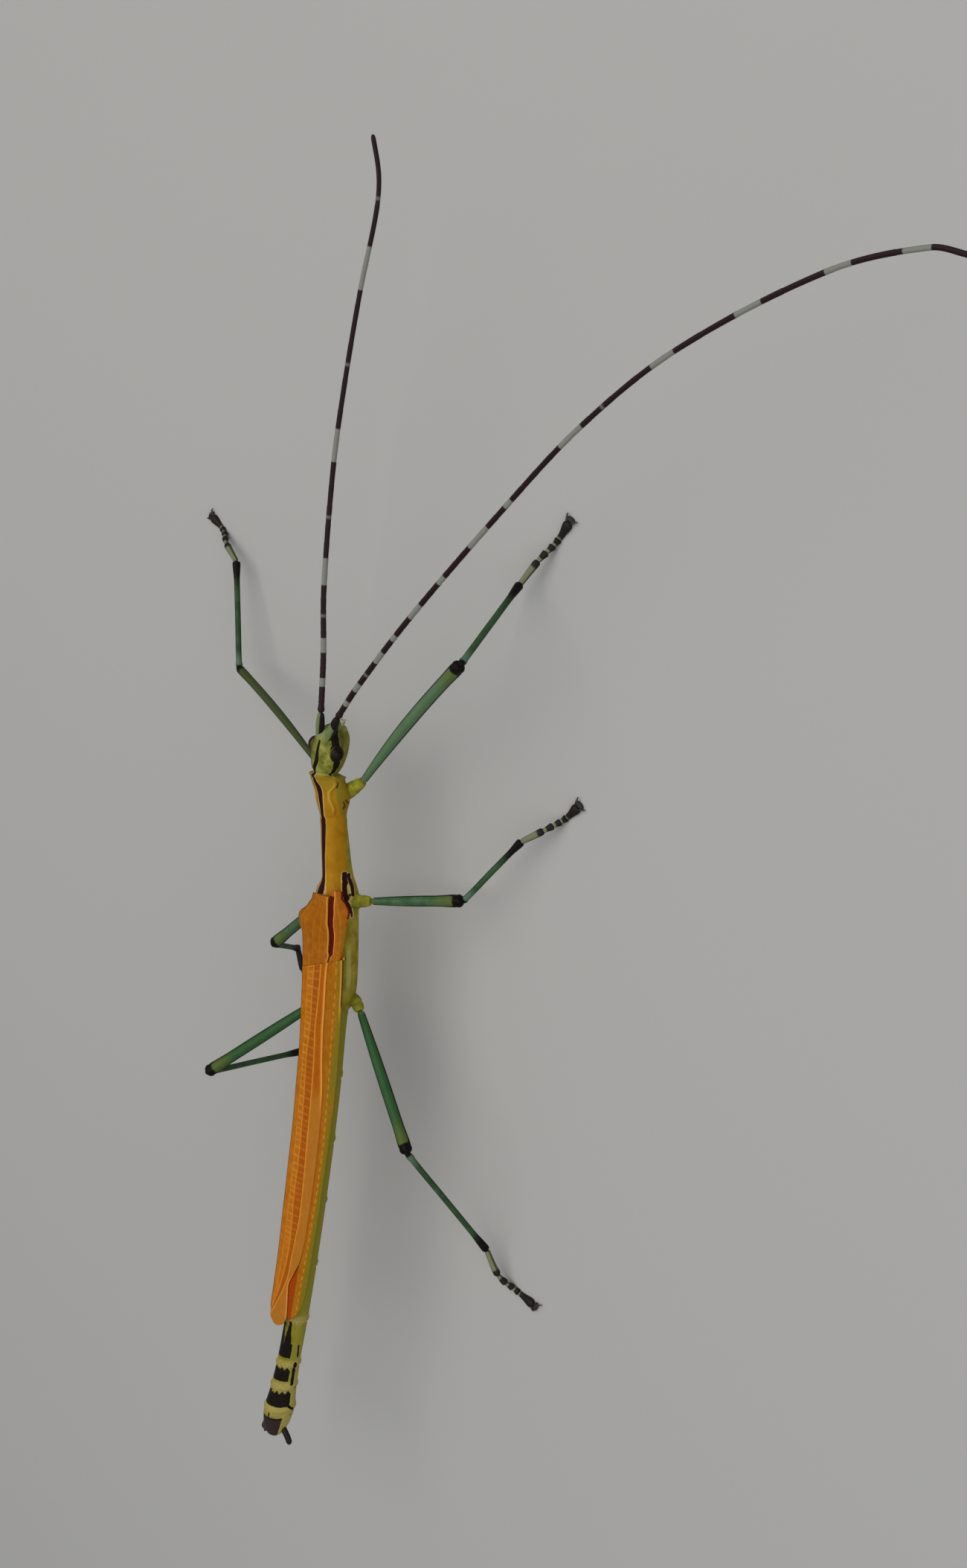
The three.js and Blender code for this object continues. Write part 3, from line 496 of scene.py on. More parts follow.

# ---- Skin: legs --------------------------------------------------------------------------------
# Each leg is four horny tubes: a stub at the hip, a keeled thigh that thickens to a black knee,
# a thin shin, and a foot of five short joints, black with pale bases, with two claws.

LEG_LENGTHS = {  # hip stub, thigh, shin, foot, and how far the thigh bows forward
    "fore": (1.8, 16.05, 9.4, 6.3, 0.25),
    "mid": (1.15, 7.85, 6.9, 5.7, 0.0),
    "hind": (1.15, 12.05, 11.9, 6.0, 0.0),
}
LEG_RADII = {  # hip, thigh's base, thigh, knee, shin
    "fore": (0.68, 0.28, 0.49, 0.53, 0.28),
    "mid": (0.7, 0.28, 0.44, 0.52, 0.27),
    "hind": (0.6, 0.3, 0.46, 0.52, 0.27),
}
HIPS = {  # y, how far beside the body's axis and how far below it
    "fore": (8.9, 0.95, 1.15), "mid": (0.0, 1.5, 0.8), "hind": (-8.1, 1.22, 0.9),
}
ROOT = {"behind": 0.35, "out": 0.25, "below": 0.8}  # a stub's start: in mm, and as shares of its hip's
KEELS = {"thigh": 0.045, "shin": 0.04}  # half the height of the four keels, in radii
POSES = {  # headings from +Y towards +X and rises of stub, thigh and shin; the foot's heading and curl
    "fore_right": ((59.4, 1.5), (48.8, 7.5), (-9.4, -54.7), 37.3, 0.0),
    "fore_left": ((-43.4, 3.5), (-64.9, -13.7), (-12.5, -9.8), -51.3, 0.0),
    "mid_right": ((84.1, -22.8), (84.1, -22.8), (39.8, -15.5), 53.5, 0.2),
    "mid_left": ((-128.1, 0.4), (-128.1, 0.4), (-124.9, -56.1), 170.0, 0.0),
    "hind_right": ((148.1, 5.3), (148.1, 5.3), (162.8, -32.7), 134.3, 0.9),
    "hind_left": ((-131.0, 30.0), (-131.0, 30.0), (-143.6, -80.9), 178.0, 0.0),
}
TOE_HEIGHT = 0.17  # of the toe's middle over the floor
LEG_FACE = np.array([0.64, 0.19, 0.75])  # where the broad faces of the thighs and shins look
FOOT_JOINTS = (0.0, 0.36, 0.5, 0.61, 0.71, 0.97)  # where the foot's joints begin and end, in foot lengths
FOOT_RADII = {"base": 0.2, "first base": 0.24, "end": 0.3, "last end": 0.36}
UP = np.array([0.0, 0.0, 1.0])
SIDES = {"left": -1, "right": 1}


def heading(degrees, rises):
    """The unit vector that turns by degrees from +Y towards +X and rises from level."""
    turn, up = math.radians(degrees), math.radians(rises)
    return np.array([math.sin(turn) * math.cos(up), math.cos(turn) * math.cos(up), math.sin(up)])


def unit(vector):
    """vector over its own length."""
    return vector / np.linalg.norm(vector, axis=-1, keepdims=True)


def path(points, steps):
    """A curve through points: smooth() of the points over their running distance, at steps places."""
    points = np.asarray(points, float)
    run = np.concatenate([[0], np.cumsum(np.linalg.norm(np.diff(points, axis=0), axis=1))])
    return smooth(np.asarray(steps) * run[-1], run, points)


def rounded(t, start, end):
    """A radius factor that closes a tube like a dome over the first start and last end of it: a
    quarter circle, sqrt(1 - (1 - t / start)^2), at each."""
    front = np.sqrt(np.clip(1 - (1 - np.clip(t / start, 0, 1)) ** 2, 0, 1))
    back = np.sqrt(np.clip(1 - (1 - np.clip((1 - t) / end, 0, 1)) ** 2, 0, 1))
    return np.maximum(front * back, 0.02)


def ends_dense(count):
    """Places from 0 to 1 that crowd at both ends: (1 - cos) / 2, blended with even ones."""
    even = np.linspace(0, 1, count)
    return 0.5 * even + 0.25 * (1 - np.cos(math.pi * even))


def add_tube(shell, t, centres, radius, ends, first, lay, flatten=1.0, columns=24, keels=0.0, **marked):
    """Adds rings round a centre line to a shell: each is radius times (flatten x cos, sin) of the
    turn in the plane square to the line, with its first axis as near first as that allows. keels
    scales it by 1 - keels + keels x cos(4 turn), and nothing of it goes below the floor."""
    way = unit(np.gradient(centres, axis=0))
    one = unit(first - (way @ first)[:, None] * way)
    two = np.cross(way, one)
    turn = around(columns)
    reach = (radius * rounded(t, *ends))[:, None] * (1 - keels + keels * np.cos(4 * turn))
    rings = (centres[:, None] + (reach * np.cos(turn) * flatten)[..., None] * one[:, None]
             + (reach * np.sin(turn))[..., None] * two[:, None])
    rings[..., 2] = np.maximum(rings[..., 2], 0.0)
    shell.add(rings, (turn, *(np.asarray(value, float)[..., None] for value in lay)), **marked)


def leg(pair, word):
    """Adds one leg to the skin, each tube from the end of the one before along its own heading; the
    foot reaches as far along the floor as its length and the ankle's height leave. Gives the toe's
    place, and the ways ahead and across there."""
    side = SIDES[word]
    stub_length, thigh_length, shin_length, foot_length, bow = LEG_LENGTHS[pair]
    hip_radius, base_radius, thigh_radius, knee_radius, shin_radius = LEG_RADII[pair]
    *ways, foot_heading, curl = POSES[f"{pair}_{word}"]
    stub_way, thigh_way, shin_way = (heading(*way) for way in ways)
    hip_y, out, below = HIPS[pair]
    hip = from_axis(hip_y, side * out, -below)
    root = from_axis(hip_y - ROOT["behind"], side * out * ROOT["out"], -below * ROOT["below"])
    stub_end = hip + stub_way * stub_length
    knee = stub_end + thigh_way * thigh_length
    ankle = knee + shin_way * shin_length
    toe = ankle + heading(foot_heading, 0) * math.sqrt(foot_length**2 - (TOE_HEIGHT - ankle[2]) ** 2)
    toe[2] = TOE_HEIGHT

    # Hip: a swollen coxa, then a short trochanter with a ring between them.
    t = ends_dense(40)
    bulge = hip if pair != "hind" else 0.5 * hip + 0.25 * (root + stub_end)
    centres = path([root, bulge, stub_end + thigh_way * 0.1], t)
    radius = (hip_radius + (base_radius + 0.08 - hip_radius) * t**1.5) * (
        1 - 0.1 * hump(t, 0.66, 0.03) + 0.04 * hump(t, 0.56, 0.06) + 0.06 * hump(t, 0.8, 0.08))
    add_tube(skin, t, centres, radius, (0.02, 0.06), UP, (t, 0.0), slot=1)

    # Thigh: four keels along it, slim at its base, with two lobes that hold the shin.
    t = ends_dense(76)
    edgewise_shaded = pair == "fore" and word == "left"  # this thigh is flatter than the rest, and painted a darker olive: painted shade
    forward = unit(np.array([-side * thigh_way[1], side * thigh_way[0], 0.0]))
    start, end = stub_end + thigh_way * 0.05, knee + thigh_way * 0.08
    centres = start + (end - start) * t[:, None] + (4 * bow * t * (1 - t))[:, None] * forward
    swelling = np.sin(np.minimum(t / 0.6, 1) * math.pi / 2)
    radius = base_radius + (thigh_radius - base_radius) * swelling
    radius += (knee_radius - radius) * rise((1 - t) * thigh_length, 2.6, 0.5)
    radius *= 1 - 0.06 * hump((1 - t) * thigh_length, 0.62, 0.09)
    add_tube(skin, t, centres, radius, (0.35 / thigh_length, 0.42 / thigh_length),
             np.cross(LEG_FACE, thigh_way), (t * thigh_length, (1 - t) * thigh_length),
             flatten=1 - 0.3 * edgewise_shaded, columns=32, keels=KEELS["thigh"],
             marks=(float(edgewise_shaded), 0.0, 0.0), slot=2)

    # Shin: a bent neck in the knee, a straight rod with fine keels, and a flared end.
    t = ends_dense(60)
    neck = knee - thigh_way * 0.28
    centres = path([neck, knee + shin_way * 0.12, knee + shin_way * shin_length * 0.5,
                    ankle + shin_way * 0.06], t)
    radius = shin_radius * (0.9 + 0.18 * hump(t, 0.06, 0.02) + 0.36 * rise(t, 0.8, 0.985))
    add_tube(skin, t, centres, radius, (0.02, 0.02), np.cross(LEG_FACE, shin_way),
             (t * shin_length, (1 - t) * shin_length), columns=20, keels=KEELS["shin"], slot=3)

    # Foot: five joints in a row, each narrow at its base and flared and notched at its end.
    shaded = pair == "mid" and word == "left"  # this one foot is painted black all over: painted shade under the body
    across = unit(np.cross(heading(foot_heading, 0), UP))
    middle, touch = (ankle + (toe - ankle) * part + across * curl for part in (0.38, 0.66))
    touch[2] = TOE_HEIGHT
    for number in range(5):
        first, last = FOOT_JOINTS[number:number + 2]
        t = ends_dense(22)
        centres = path([ankle, middle, touch, toe], first + (last - first) * t * 1.02)
        wide = FOOT_RADII["last end" if number == 4 else "end"]
        slim = FOOT_RADII["base" if number else "first base"]
        radius = slim + (wide - slim) * rise(t, 0.1, 0.95)
        ends, flat = ((0.08, 0.3), 1.25) if number == 4 else ((0.08, 0.12), 1.0)
        add_tube(skin, t, centres, radius, ends, across, (t, number + 10.0 * shaded),
                 flatten=flat, columns=16, slot=4)
    return toe, unit(toe - touch), across


toes = {f"{pair}_{word}": leg(pair, word) for pair in LEG_LENGTHS for word in SIDES}

hip_cuticle = Paint("hip_cuticle", ior=1.5, specular_ior_level=0.1)
turn = hip_cuticle.field()[0]
clouds, fine = hip_cuticle.noise(0.5, 3.0), hip_cuticle.noise(0.1)
# The hip is painted a darker olive on its underside: painted shade.
colour = clouds.rise(0.35, 0.7).blend(rgb(126, 120, 26), rgb(152, 148, 52)).coats(
    (turn.cosine().rise(-0.2, -0.9) * 0.5, rgb(60, 66, 22)))
hip_paint = hip_cuticle.finish(colour, 0.4 + fine * 0.2, fine * 0.6 + clouds * 0.4, 0.02)

thigh_cuticle = Paint("thigh_cuticle", ior=1.5, specular_ior_level=0.1)
turn, from_base, from_knee = thigh_cuticle.field()
# The fore-left thigh is painted a darker olive all over: painted shade.
edgewise_shaded = thigh_cuticle.field("marks")[0]
clouds, fine = thigh_cuticle.noise(0.8, 3.0), thigh_cuticle.noise(0.08)
keel = abs(turn.cosine()).rise(0.78, 0.94)
length = from_base + from_knee  # the hind thigh is greener, and the front one greyer
knee_edge = from_knee + (clouds - 0.5) * 0.5 - keel * 0.3
colour = clouds.rise(0.3, 0.7).blend(rgb(56, 88, 56), rgb(74, 104, 72)).coats(
    (length.band(10.0, 14.0, 0.5) * 0.8, rgb(46, 86, 44)),
    (length.rise(14.0, 15.0) * 0.6, rgb(100, 128, 92)),
    (from_knee.rise(3.4, 1.2) * 0.7, rgb(92, 104, 46)),
    (edgewise_shaded * 0.85, rgb(62, 68, 22)),
    (keel * 0.9, rgb(20, 32, 16)),
    (knee_edge.rise(0.95, 0.75), rgb(15, 11, 7)),
    (from_base.rise(0.5, 0.1) * 0.6, rgb(122, 130, 48)))
thigh_paint = thigh_cuticle.finish(colour, 0.36 + fine * 0.2, fine * 0.7 + clouds * 0.3, 0.015)

shin_cuticle = Paint("shin_cuticle", ior=1.5, specular_ior_level=0.1)
turn, from_knee, from_ankle = shin_cuticle.field()
clouds, fine = shin_cuticle.noise(0.7, 3.0), shin_cuticle.noise(0.07)
colour = clouds.rise(0.3, 0.7).blend(rgb(44, 70, 42), rgb(58, 86, 54)).coats(
    (from_knee.rise(1.8, 0.8) * 0.7, rgb(96, 124, 104)),
    (abs(turn.cosine()).rise(0.72, 0.92) * 0.6, rgb(26, 40, 30)),
    (from_ankle.rise(2.8, 1.1), rgb(17, 13, 10)),
    (from_knee.rise(0.55, 0.4), rgb(15, 11, 8)))
shin_paint = shin_cuticle.finish(colour, 0.4 + fine * 0.2, fine * 0.7 + clouds * 0.3, 0.012)

foot_cuticle = Paint("foot_cuticle", ior=1.45, specular_ior_level=0.25)
turn, t, number = foot_cuticle.field()
fine = foot_cuticle.noise(0.08)
# A foot marked shaded loses its pale bases: painted shade under the body.
first_joint, last_joint, shaded = number.rise(0.6, 0.4), number.rise(3.4, 3.6), number.rise(8.0, 9.0)
pale_until = 0.28 + first_joint * 0.42 - last_joint * 0.22 - shaded + (fine - 0.5) * 0.2
pale = t.rise(pale_until + 0.1, pale_until) * (1 - abs(turn.cosine()).rise(0.8, 0.95) * 0.7)
colour = fine.blend(rgb(20, 15, 11), rgb(34, 27, 20)).coats((pale, rgb(116, 122, 90)))
foot_paint = foot_cuticle.finish(colour, 0.45 + fine * 0.25, fine, 0.01)

skin_piece = skin.piece("skin", skin_paint, hip_paint, thigh_paint, shin_paint, foot_paint)
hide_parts("head", "prothorax", "mesothorax", "metathorax",
            "abdomen_front", "abdomen_middle", "abdomen_rear", "abdomen_tip",
            *(f"{name}_{bone}" for name in toes for bone in ("coxa", "femur", "tibia", "tarsus")))
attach(skin_piece, "root")

# ---- Claws -------------------------------------------------------------------------------------
# Each foot ends in two curved horny claws, set wide apart beside a soft round pad.

CLAW = {"length": 0.5, "spread": 0.44, "radius": 0.13}
PAD_RADIUS = 0.22
claws = Shell()
for toe, way, across in toes.values():
    t = np.linspace(0, 1, 22)
    for side in (-1, 1):
        ahead = CLAW["length"] * np.sin(1.5 * t) - 0.3
        beside = side * (0.16 + CLAW["spread"] * t**0.8)
        above = 0.04 + 0.09 * np.sin(math.pi * t) - 0.12 * t**2
        centres = toe + np.outer(ahead, way) + np.outer(beside, across) + np.outer(above, UP)
        add_tube(claws, t, centres, CLAW["radius"] * (1 - 0.8 * t), (0.05, 0.04), UP, (t, 0.0), columns=10)
    t = ends_dense(18)
    centres = toe + np.outer(0.4 * t - 0.2, way) - UP * 0.03
    add_tube(claws, t, centres, PAD_RADIUS, (0.4, 0.5), across, (t, 1.0), flatten=1.8, columns=18)
horn = Paint("horn", ior=1.54)
_, t, pad = horn.field()
fine = horn.noise(0.06)
colour = t.rise(0.3, 1.0).blend(rgb(20, 13, 9), rgb(52, 28, 16)).coats((pad, rgb(28, 22, 18)))
claw_piece = claws.piece("claws", horn.finish(colour, 0.25 + pad * 0.35 + fine * 0.1, fine, 0.006))
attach(claw_piece, "root")

# ---- Eyes --------------------------------------------------------------------------------------
# Compound eyes: domes of tiny horny lenses, almost black, with a paler olive band round their foot,
# each sunk by its inner half into the side of the head.

EYE = {"side": 1.36, "y": 12.35, "up": 0.28, "size": (0.52, 0.68, 0.62)}
EYE_INSET = 0.985  # the size of the dome against that of its solid
POLE = 0.02  # how near the poles the first and last rings lie, in turn
eyes = Shell()
for side in (-1, 1):
    fall = np.linspace(POLE, math.pi - POLE, 60)[:, None]
    turn = around(80)[None, :]
    centre = from_axis(EYE["y"], side * EYE["side"], EYE["up"])
    ball = np.stack(np.broadcast_arrays(np.cos(fall) * side, np.sin(fall) * np.cos(turn),
                                        np.sin(fall) * np.sin(turn)), -1)
    size = np.array(EYE["size"]) * EYE_INSET
    points = turned_head(centre + ball * size, np.full(ball.shape[:2], EYE["y"]))
    eyes.add(points, (turn, fall, 0.0), outward=side < 0)
facets = Paint("eye_facets", ior=1.55, coat_weight=0.02, coat_roughness=0.2, specular_ior_level=0.1)
fall = facets.field()[1]
cells = facets.speckle(0.05)
colour = facets.noise(0.5).rise(0.3, 0.7).blend(rgb(17, 13, 8), rgb(34, 26, 16)).coats(
    (fall.rise(1.62, 1.8) * 0.6, rgb(104, 100, 46)))
eye_piece = eyes.piece("eyes", facets.finish(colour, 0.3 + cells * 0.1, 1 - cells, 0.005))
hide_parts("eye_left", "eye_right")
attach(eye_piece, "root")

# ---- Feelers -----------------------------------------------------------------------------------
# Each feeler is a thick first joint on the brow, a bead, and a long whip of rings, very dark red
# with pale grey bands that grow longer towards the tip. It is horn.

# Points [x, y, z] of the line of each feeler, from its bead to its tip.
FEELER_LINES = {
    "right": [[1.17, 15.1, 9.35], [3.2, 17.6, 9.3], [9.1, 23.4, 9.7], [18.8, 31.7, 10.6],
              [25.6, 37.0, 11.3], [33.2, 41.5, 12.0], [44.2, 45.5, 13.1], [50.8, 46.3, 13.8],
              [53.3, 45.7, 14.0]],
    "left": [[-0.7, 15.3, 9.3], [-0.5, 19.8, 9.2], [0.0, 25.0, 9.6], [1.7, 34.3, 10.2],
             [3.4, 40.2, 10.7], [5.5, 46.6, 11.2], [7.5, 51.9, 11.6], [7.9, 54.2, 11.8],
             [7.5, 56.9, 12.0]],
}
# Lengths of the dark and pale stretches in turn, in mm from the bead outwards.
FEELER_BANDS = {
    "right": [1.39, 0.47, 1.11, 0.86, 2.48, 1.19, 1.4, 0.6, 2.05, 1.55, 2.5, 0.85, 3.35, 2.3, 2.2, 0.8,
              5.7, 2.35, 6.75, 2.0, 5.0, 2.0, 4.6, 1.8, 3.3, 1.8, 2.5],
    "left": [2.08, 0.67, 2.0, 1.15, 4.15, 2.1, 7.35, 2.5, 10.2, 3.1, 7.6],
}
FEELER_MINORS = {"right": [4.87, 35.3], "left": [7.65, 15.3, 26.8, 38.6]}  # faint bands between
FEELER_RADII = (0.25, 0.17)  # at the bead and at the tip
FEELER_ROW = 0.075  # between two rings of the mesh
RING_LENGTH = 0.62  # near the bead; the rings grow longer towards the tip
SCAPE = {"side": 0.5, "y": 13.3, "up": 0.66, "radius": 0.36}  # the first joint's root on the brow

feelers = Shell()
for word, side in SIDES.items():
    line = np.array(FEELER_LINES[word])
    base = turned_head(from_axis(SCAPE["y"], side * SCAPE["side"], SCAPE["up"]), SCAPE["y"])
    way = unit(line[0] - base)
    t = ends_dense(40)
    centres = base + (line[0] + way * 0.02 - base) * t[:, None]
    belly = 0.2 * np.sin(math.pi * np.clip(t * 1.1, 0, 1))
    radius = SCAPE["radius"] * (0.78 + belly - 0.12 * rise(t, 0.85, 1))
    add_tube(feelers, t, centres, radius, (0.03, 0.08), UP, (t, 2.5 + 0.5 * side))
    length = np.linalg.norm(np.diff(line, axis=0), axis=1).sum()
    steps = np.linspace(0, 1, int(length / FEELER_ROW))
    centres = path(line, steps)
    run = steps * length
    ends = np.cumsum(FEELER_BANDS[word])
    pale = sum(rise(run, start - 0.1, start + 0.1) * rise(run, end + 0.1, end - 0.1)
               for start, end in zip(ends[::2], ends[1::2]))
    minor = sum(hump(run, place, 0.2) for place in FEELER_MINORS[word])
    pale = np.clip(pale + 0.55 * minor, 0, 1)
    radius = FEELER_RADII[0] + (FEELER_RADII[1] - FEELER_RADII[0]) * steps**0.6
    joint = np.mod(run / (RING_LENGTH * (0.7 + 1.6 * steps)), 1.0)
    bead = 0.12 * hump(run, 0.32, 0.2) - 0.12 * hump(run, 0.72, 0.06)
    radius = radius * (0.95 + 0.07 * joint) * (1 + bead)
    add_tube(feelers, steps, centres, radius, (0.15 / length, 0.3 / length), UP, (run, pale), columns=14)
whip = Paint("feeler", ior=1.45, specular_ior_level=0.25)
turn, run, pale = whip.field()
fine = whip.noise(0.07)
dark = fine.blend(rgb(24, 9, 12), rgb(42, 19, 19))
light = fine.blend(rgb(114, 116, 106), rgb(142, 143, 133))
right_scape = pale.rise(2.4, 2.6)
shadow = turn.sine() + (fine - 0.5) * 0.2 + right_scape * (1.9 * run.rise(0.55, 0.8) - 0.35)
brow = shadow.rise(0.4, 0.65).blend(rgb(112, 124, 76), rgb(20, 15, 11))
colour = pale.rise(0.15, 0.85).blend(dark, light).coats((pale.rise(1.4, 1.6), brow))
feeler_piece = feelers.piece("feelers", whip.finish(colour, 0.5 + fine * 0.2, fine, 0.008))
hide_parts("antenna_left_scape", "antenna_right_scape",
            *(f"antenna_left_{i}" for i in (1, 2, 3)), *(f"antenna_right_{i}" for i in (1, 2, 3, 4)))
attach(feeler_piece, "root")

# ---- Mouthparts --------------------------------------------------------------------------------
# Under the brow hang a notched lip over two hard jaws, and four jointed palps, cream and soft.

MOUTH_Y, MOUTH_UP = 14.1, -0.6  # the lip's middle
MOUTH_POLE = 0.03  # the same for the lip and the jaws as POLE is for the eyes
mouth = Shell()


def mouth_place(side, forward, up):
    """A point of the face: sideways, ahead of and above the lip's middle, on the turned head."""
    y = MOUTH_Y + np.asarray(forward, float)
    return turned_head(from_axis(y, side, MOUTH_UP + up), y)


fall = np.linspace(MOUTH_POLE, math.pi - MOUTH_POLE, 34)[:, None]
turn = around(48)[None, :]
notch = 0.12 * hump(turn, math.pi / 2, 0.35) * np.sin(fall)
poleward, forward, upward = -np.cos(fall), np.sin(fall) * np.sin(turn), np.sin(fall) * np.cos(turn)
mouth.add(mouth_place(0.5 * poleward, (0.4 - notch) * forward + 0.02, 0.62 * upward),
          (turn, fall, 0.0), outward=False)
for side in (-1, 1):
    jaw = mouth_place(side * 0.5 + 0.3 * poleward, 0.42 * forward - 0.16, 0.5 * upward - 0.12)
    mouth.add(jaw, (turn, fall, 1.0), outward=False)
    for start, joints, radius in (
            ((side * 0.4, 0.08, -0.2), ((-0.02, 0.28, 0.02), (-0.1, 0.3, 0.02), (-0.16, 0.24, -0.06)), 0.13),
            ((side * 0.2, 0.16, -0.45), ((0.0, 0.22, -0.08), (-0.03, 0.22, -0.1)), 0.1)):
        place = np.array(start)
        for step in joints:
            step = np.array([step[0] * side, step[1], step[2]])
            t = ends_dense(20)
            ends = [mouth_place(*(place - step * 0.08)), mouth_place(*(place + step * 0.5)),
                    mouth_place(*(place + step))]
            add_tube(mouth, t, path(ends, t), radius * (0.8 + 0.3 * t), (0.2, 0.3), UP, (t, 2.0), columns=14)
            place = place + step
soft = Paint("mouthparts", ior=1.42, specular_ior_level=0.25)
_, t, kind = soft.field()
clouds, fine = soft.noise(0.4, 3.0), soft.noise(0.07)
palp = t.rise(0.75, 0.95).blend(rgb(188, 184, 152), rgb(110, 84, 60))
colour = clouds.rise(0.3, 0.7).blend(rgb(96, 100, 40), rgb(132, 132, 66)).coats((kind.rise(1.4, 1.6), palp))
mouth_piece = mouth.piece("mouthparts_soft", soft.finish(colour, 0.4 + fine * 0.2, fine + clouds, 0.012))
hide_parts("mouthparts")
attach(mouth_piece, "root")

# ---- Wings -------------------------------------------------------------------------------------
# Two short leathery forewings with a raised shoulder lie over the roots of the long hindwings,
# which are folded flat along the back; raised veins and rungs stiffen all four.

WING_HEIGHT = 0.5  # of a wing's top over its bed
PLATES = {"forewing": 0.3, "left": 0.3, "right": 0.26}  # thickness of both forewings and each hindwing
WING_SAG, WING_CROWN, WING_GAP = 0.02, 1.5, 0.08  # a wing's bend across, and its gap to the back
# Stations [y, height or side]: the bed under the wings, and the line where the two pairs meet.
WING_BED = [[1.4, 1.29], [0.2, 1.39], [-1.5, 1.27], [-4.0, 1.19], [-8.0, 1.12], [-12.0, 1.05],
            [-16.0, 1.02], [-37.2, 1.02]]
SUTURE = [[0.9, 1.47], [-0.5, 1.22], [-1.5, 1.0], [-2.2, 1.06], [-3.2, 0.98], [-4.1, 0.88], [-4.7, 0.95],
          [-5.7, 0.62], [-7.0, 0.47], [-9.2, 0.44], [-10.7, 0.42], [-12.0, 0.5], [-13.6, 0.66],
          [-15.7, 0.95], [-18.5, 1.14], [-22.0, 1.22], [-28.0, 1.18], [-30.6, 0.97], [-31.9, 0.47],
          [-33.1, 0.0], [-34.0, 0.08], [-35.5, 0.31], [-37.2, 0.5]]
# Stations [y, how far from the body's axis] of each wing's outer edge.
FOREWING_WIDTH = {
    "left": [[0.7, 0.7], [0.3, 0.85], [0.0, 1.15], [-0.5, 1.65], [-1.2, 2.7], [-1.75, 3.05], [-2.3, 3.05],
             [-2.8, 2.8], [-3.4, 2.78], [-4.6, 2.8], [-5.4, 2.78]],
    "right": [[0.7, 2.4], [0.3, 2.6], [-0.35, 2.7], [-1.3, 2.5], [-2.1, 2.4], [-3.0, 2.28], [-4.0, 2.13],
              [-4.6, 2.05], [-5.4, 1.95]],
}
HINDWING_WIDTH = {
    "left": [[-5.4, 2.85], [-7.4, 2.84], [-10.0, 2.82], [-12.5, 2.72], [-15.7, 2.66], [-19.5, 2.5],
             [-22.2, 2.46], [-24.8, 2.37], [-27.5, 2.28], [-30.1, 2.12], [-32.2, 2.04], [-35.0, 1.98],
             [-37.4, 1.9]],
    "right": [[-5.4, 2.26], [-9.0, 2.24], [-16.0, 2.3], [-22.0, 2.25], [-28.0, 2.2], [-33.0, 2.1],
              [-36.4, 1.9]],
}
SHOULDER = {"y": -1.6, "side": 1.9, "height": 0.3, "reach": 1.1}  # of the left forewing


def wing_floor(y, side):
    """How high a folded wing's underside lies above the body's axis."""
    return along(WING_BED, y) + WING_GAP + WING_SAG * (WING_CROWN - side**2)


def wing_lean(y, side):
    """How far ahead of y a point of a wing lies: the joint between fore and hind wings slants."""
    return 0.33 * (side + 1.17) * rise(y, -3.2, -5.4) * rise(y, -7.6, -5.45)


EDGE_POWER = 0.35  # the lower, the flatter the plate's faces and the tighter its round edges
END_ROUNDING = 0.03  # the stretch over which a plate thins at either end


def wing(inner, outer, y, top, thickness, columns=190):
    """A plate between its inner and outer edges at each y, under the surface top(y, side).
    Each ring runs over the top and back underneath: across it goes as a blend of (1 - cos) / 2 and
    the turn itself, and its height as a low power of the turn's sine, so its edges are round. The
    plate thins towards its first and last ring like a circle. Gives the rings, each point's side
    and each point's y."""
    under = -math.pi * (1 - np.linspace(0, 1, columns // 4, endpoint=False))
    turn = np.concatenate([under, np.linspace(0, math.pi, columns - columns // 4, endpoint=False)])[None, :]
    across = 0.3 * (1 - np.cos(turn)) / 2 + 0.7 * np.abs(turn) / math.pi
    y = y[:, None]
    side = inner[:, None] + (outer - inner)[:, None] * across
    ends = np.clip(np.minimum(y[0] - y, y - y[-1]) / END_ROUNDING, 0, 1)
    bulge = fuller(np.sin(turn), EDGE_POWER) * np.sqrt(1 - (1 - ends) ** 2).clip(0.03)
    up = top(y, side) - thickness / 2 * (1 - bulge)
    return from_axis(y + wing_lean(y, side), side, up), side, np.broadcast_to(y, side.shape)


def ridge(y, side, stations, reach):
    """A bell across the line of stations [y, side]."""
    return hump(side, along(stations, y), reach)


def vein_height(y, side, veins, reach):
    """The highest of the bells across the veins, 0 to 1."""
    return np.max([ridge(y, side, vein, reach) for vein in veins], axis=0)


# Forewings: a raised shoulder, veins that fan from the root, and fine cross wrinkles; the right
# one's inner margin is a sunken dark strip, and its outer part bends down over the flank.
# The strip's width at each y, and the lines [y, side] of the veins:
STRIP = [[1.4, 0.45], [-0.5, 0.56], [-1.5, 0.57], [-2.3, 0.55], [-3.3, 0.5], [-4.3, 0.47], [-4.75, 0.2]]
FOREWING_VEINS = {
    "left": [[[0.6, 0.6], [-1.1, -1.2], [-2.0, -1.75], [-5.4, -1.75]],
             [[0.5, -0.1], [-1.6, -2.2], [-2.6, -2.3], [-5.4, -2.2]],
             [[0.7, 0.8], [-1.2, -0.4], [-2.6, -1.0], [-5.4, -1.2]],
             [[0.8, 1.0], [-1.2, 0.2], [-2.8, -0.2], [-5.4, -0.4]],
             [[0.8, 1.2], [-1.5, 0.62], [-3.2, 0.4], [-5.4, 0.3]]],
    "right": [[[1.3, 1.95], [-1.2, 1.9], [-3.2, 1.75], [-5.4, 1.4]],
              [[1.3, 2.0], [-1.0, 2.2], [-3.2, 2.02], [-5.4, 1.7]],
              [[1.3, 1.75], [-1.2, 1.7], [-3.2, 1.55], [-5.4, 1.1]]],
}
DRAPE_FROM, DRAPE = 1.6, 0.6
VEIN_REACH = 0.08
STRIP_REACH = 0.17  # how far left of the suture the dark strip and the left forewing meet


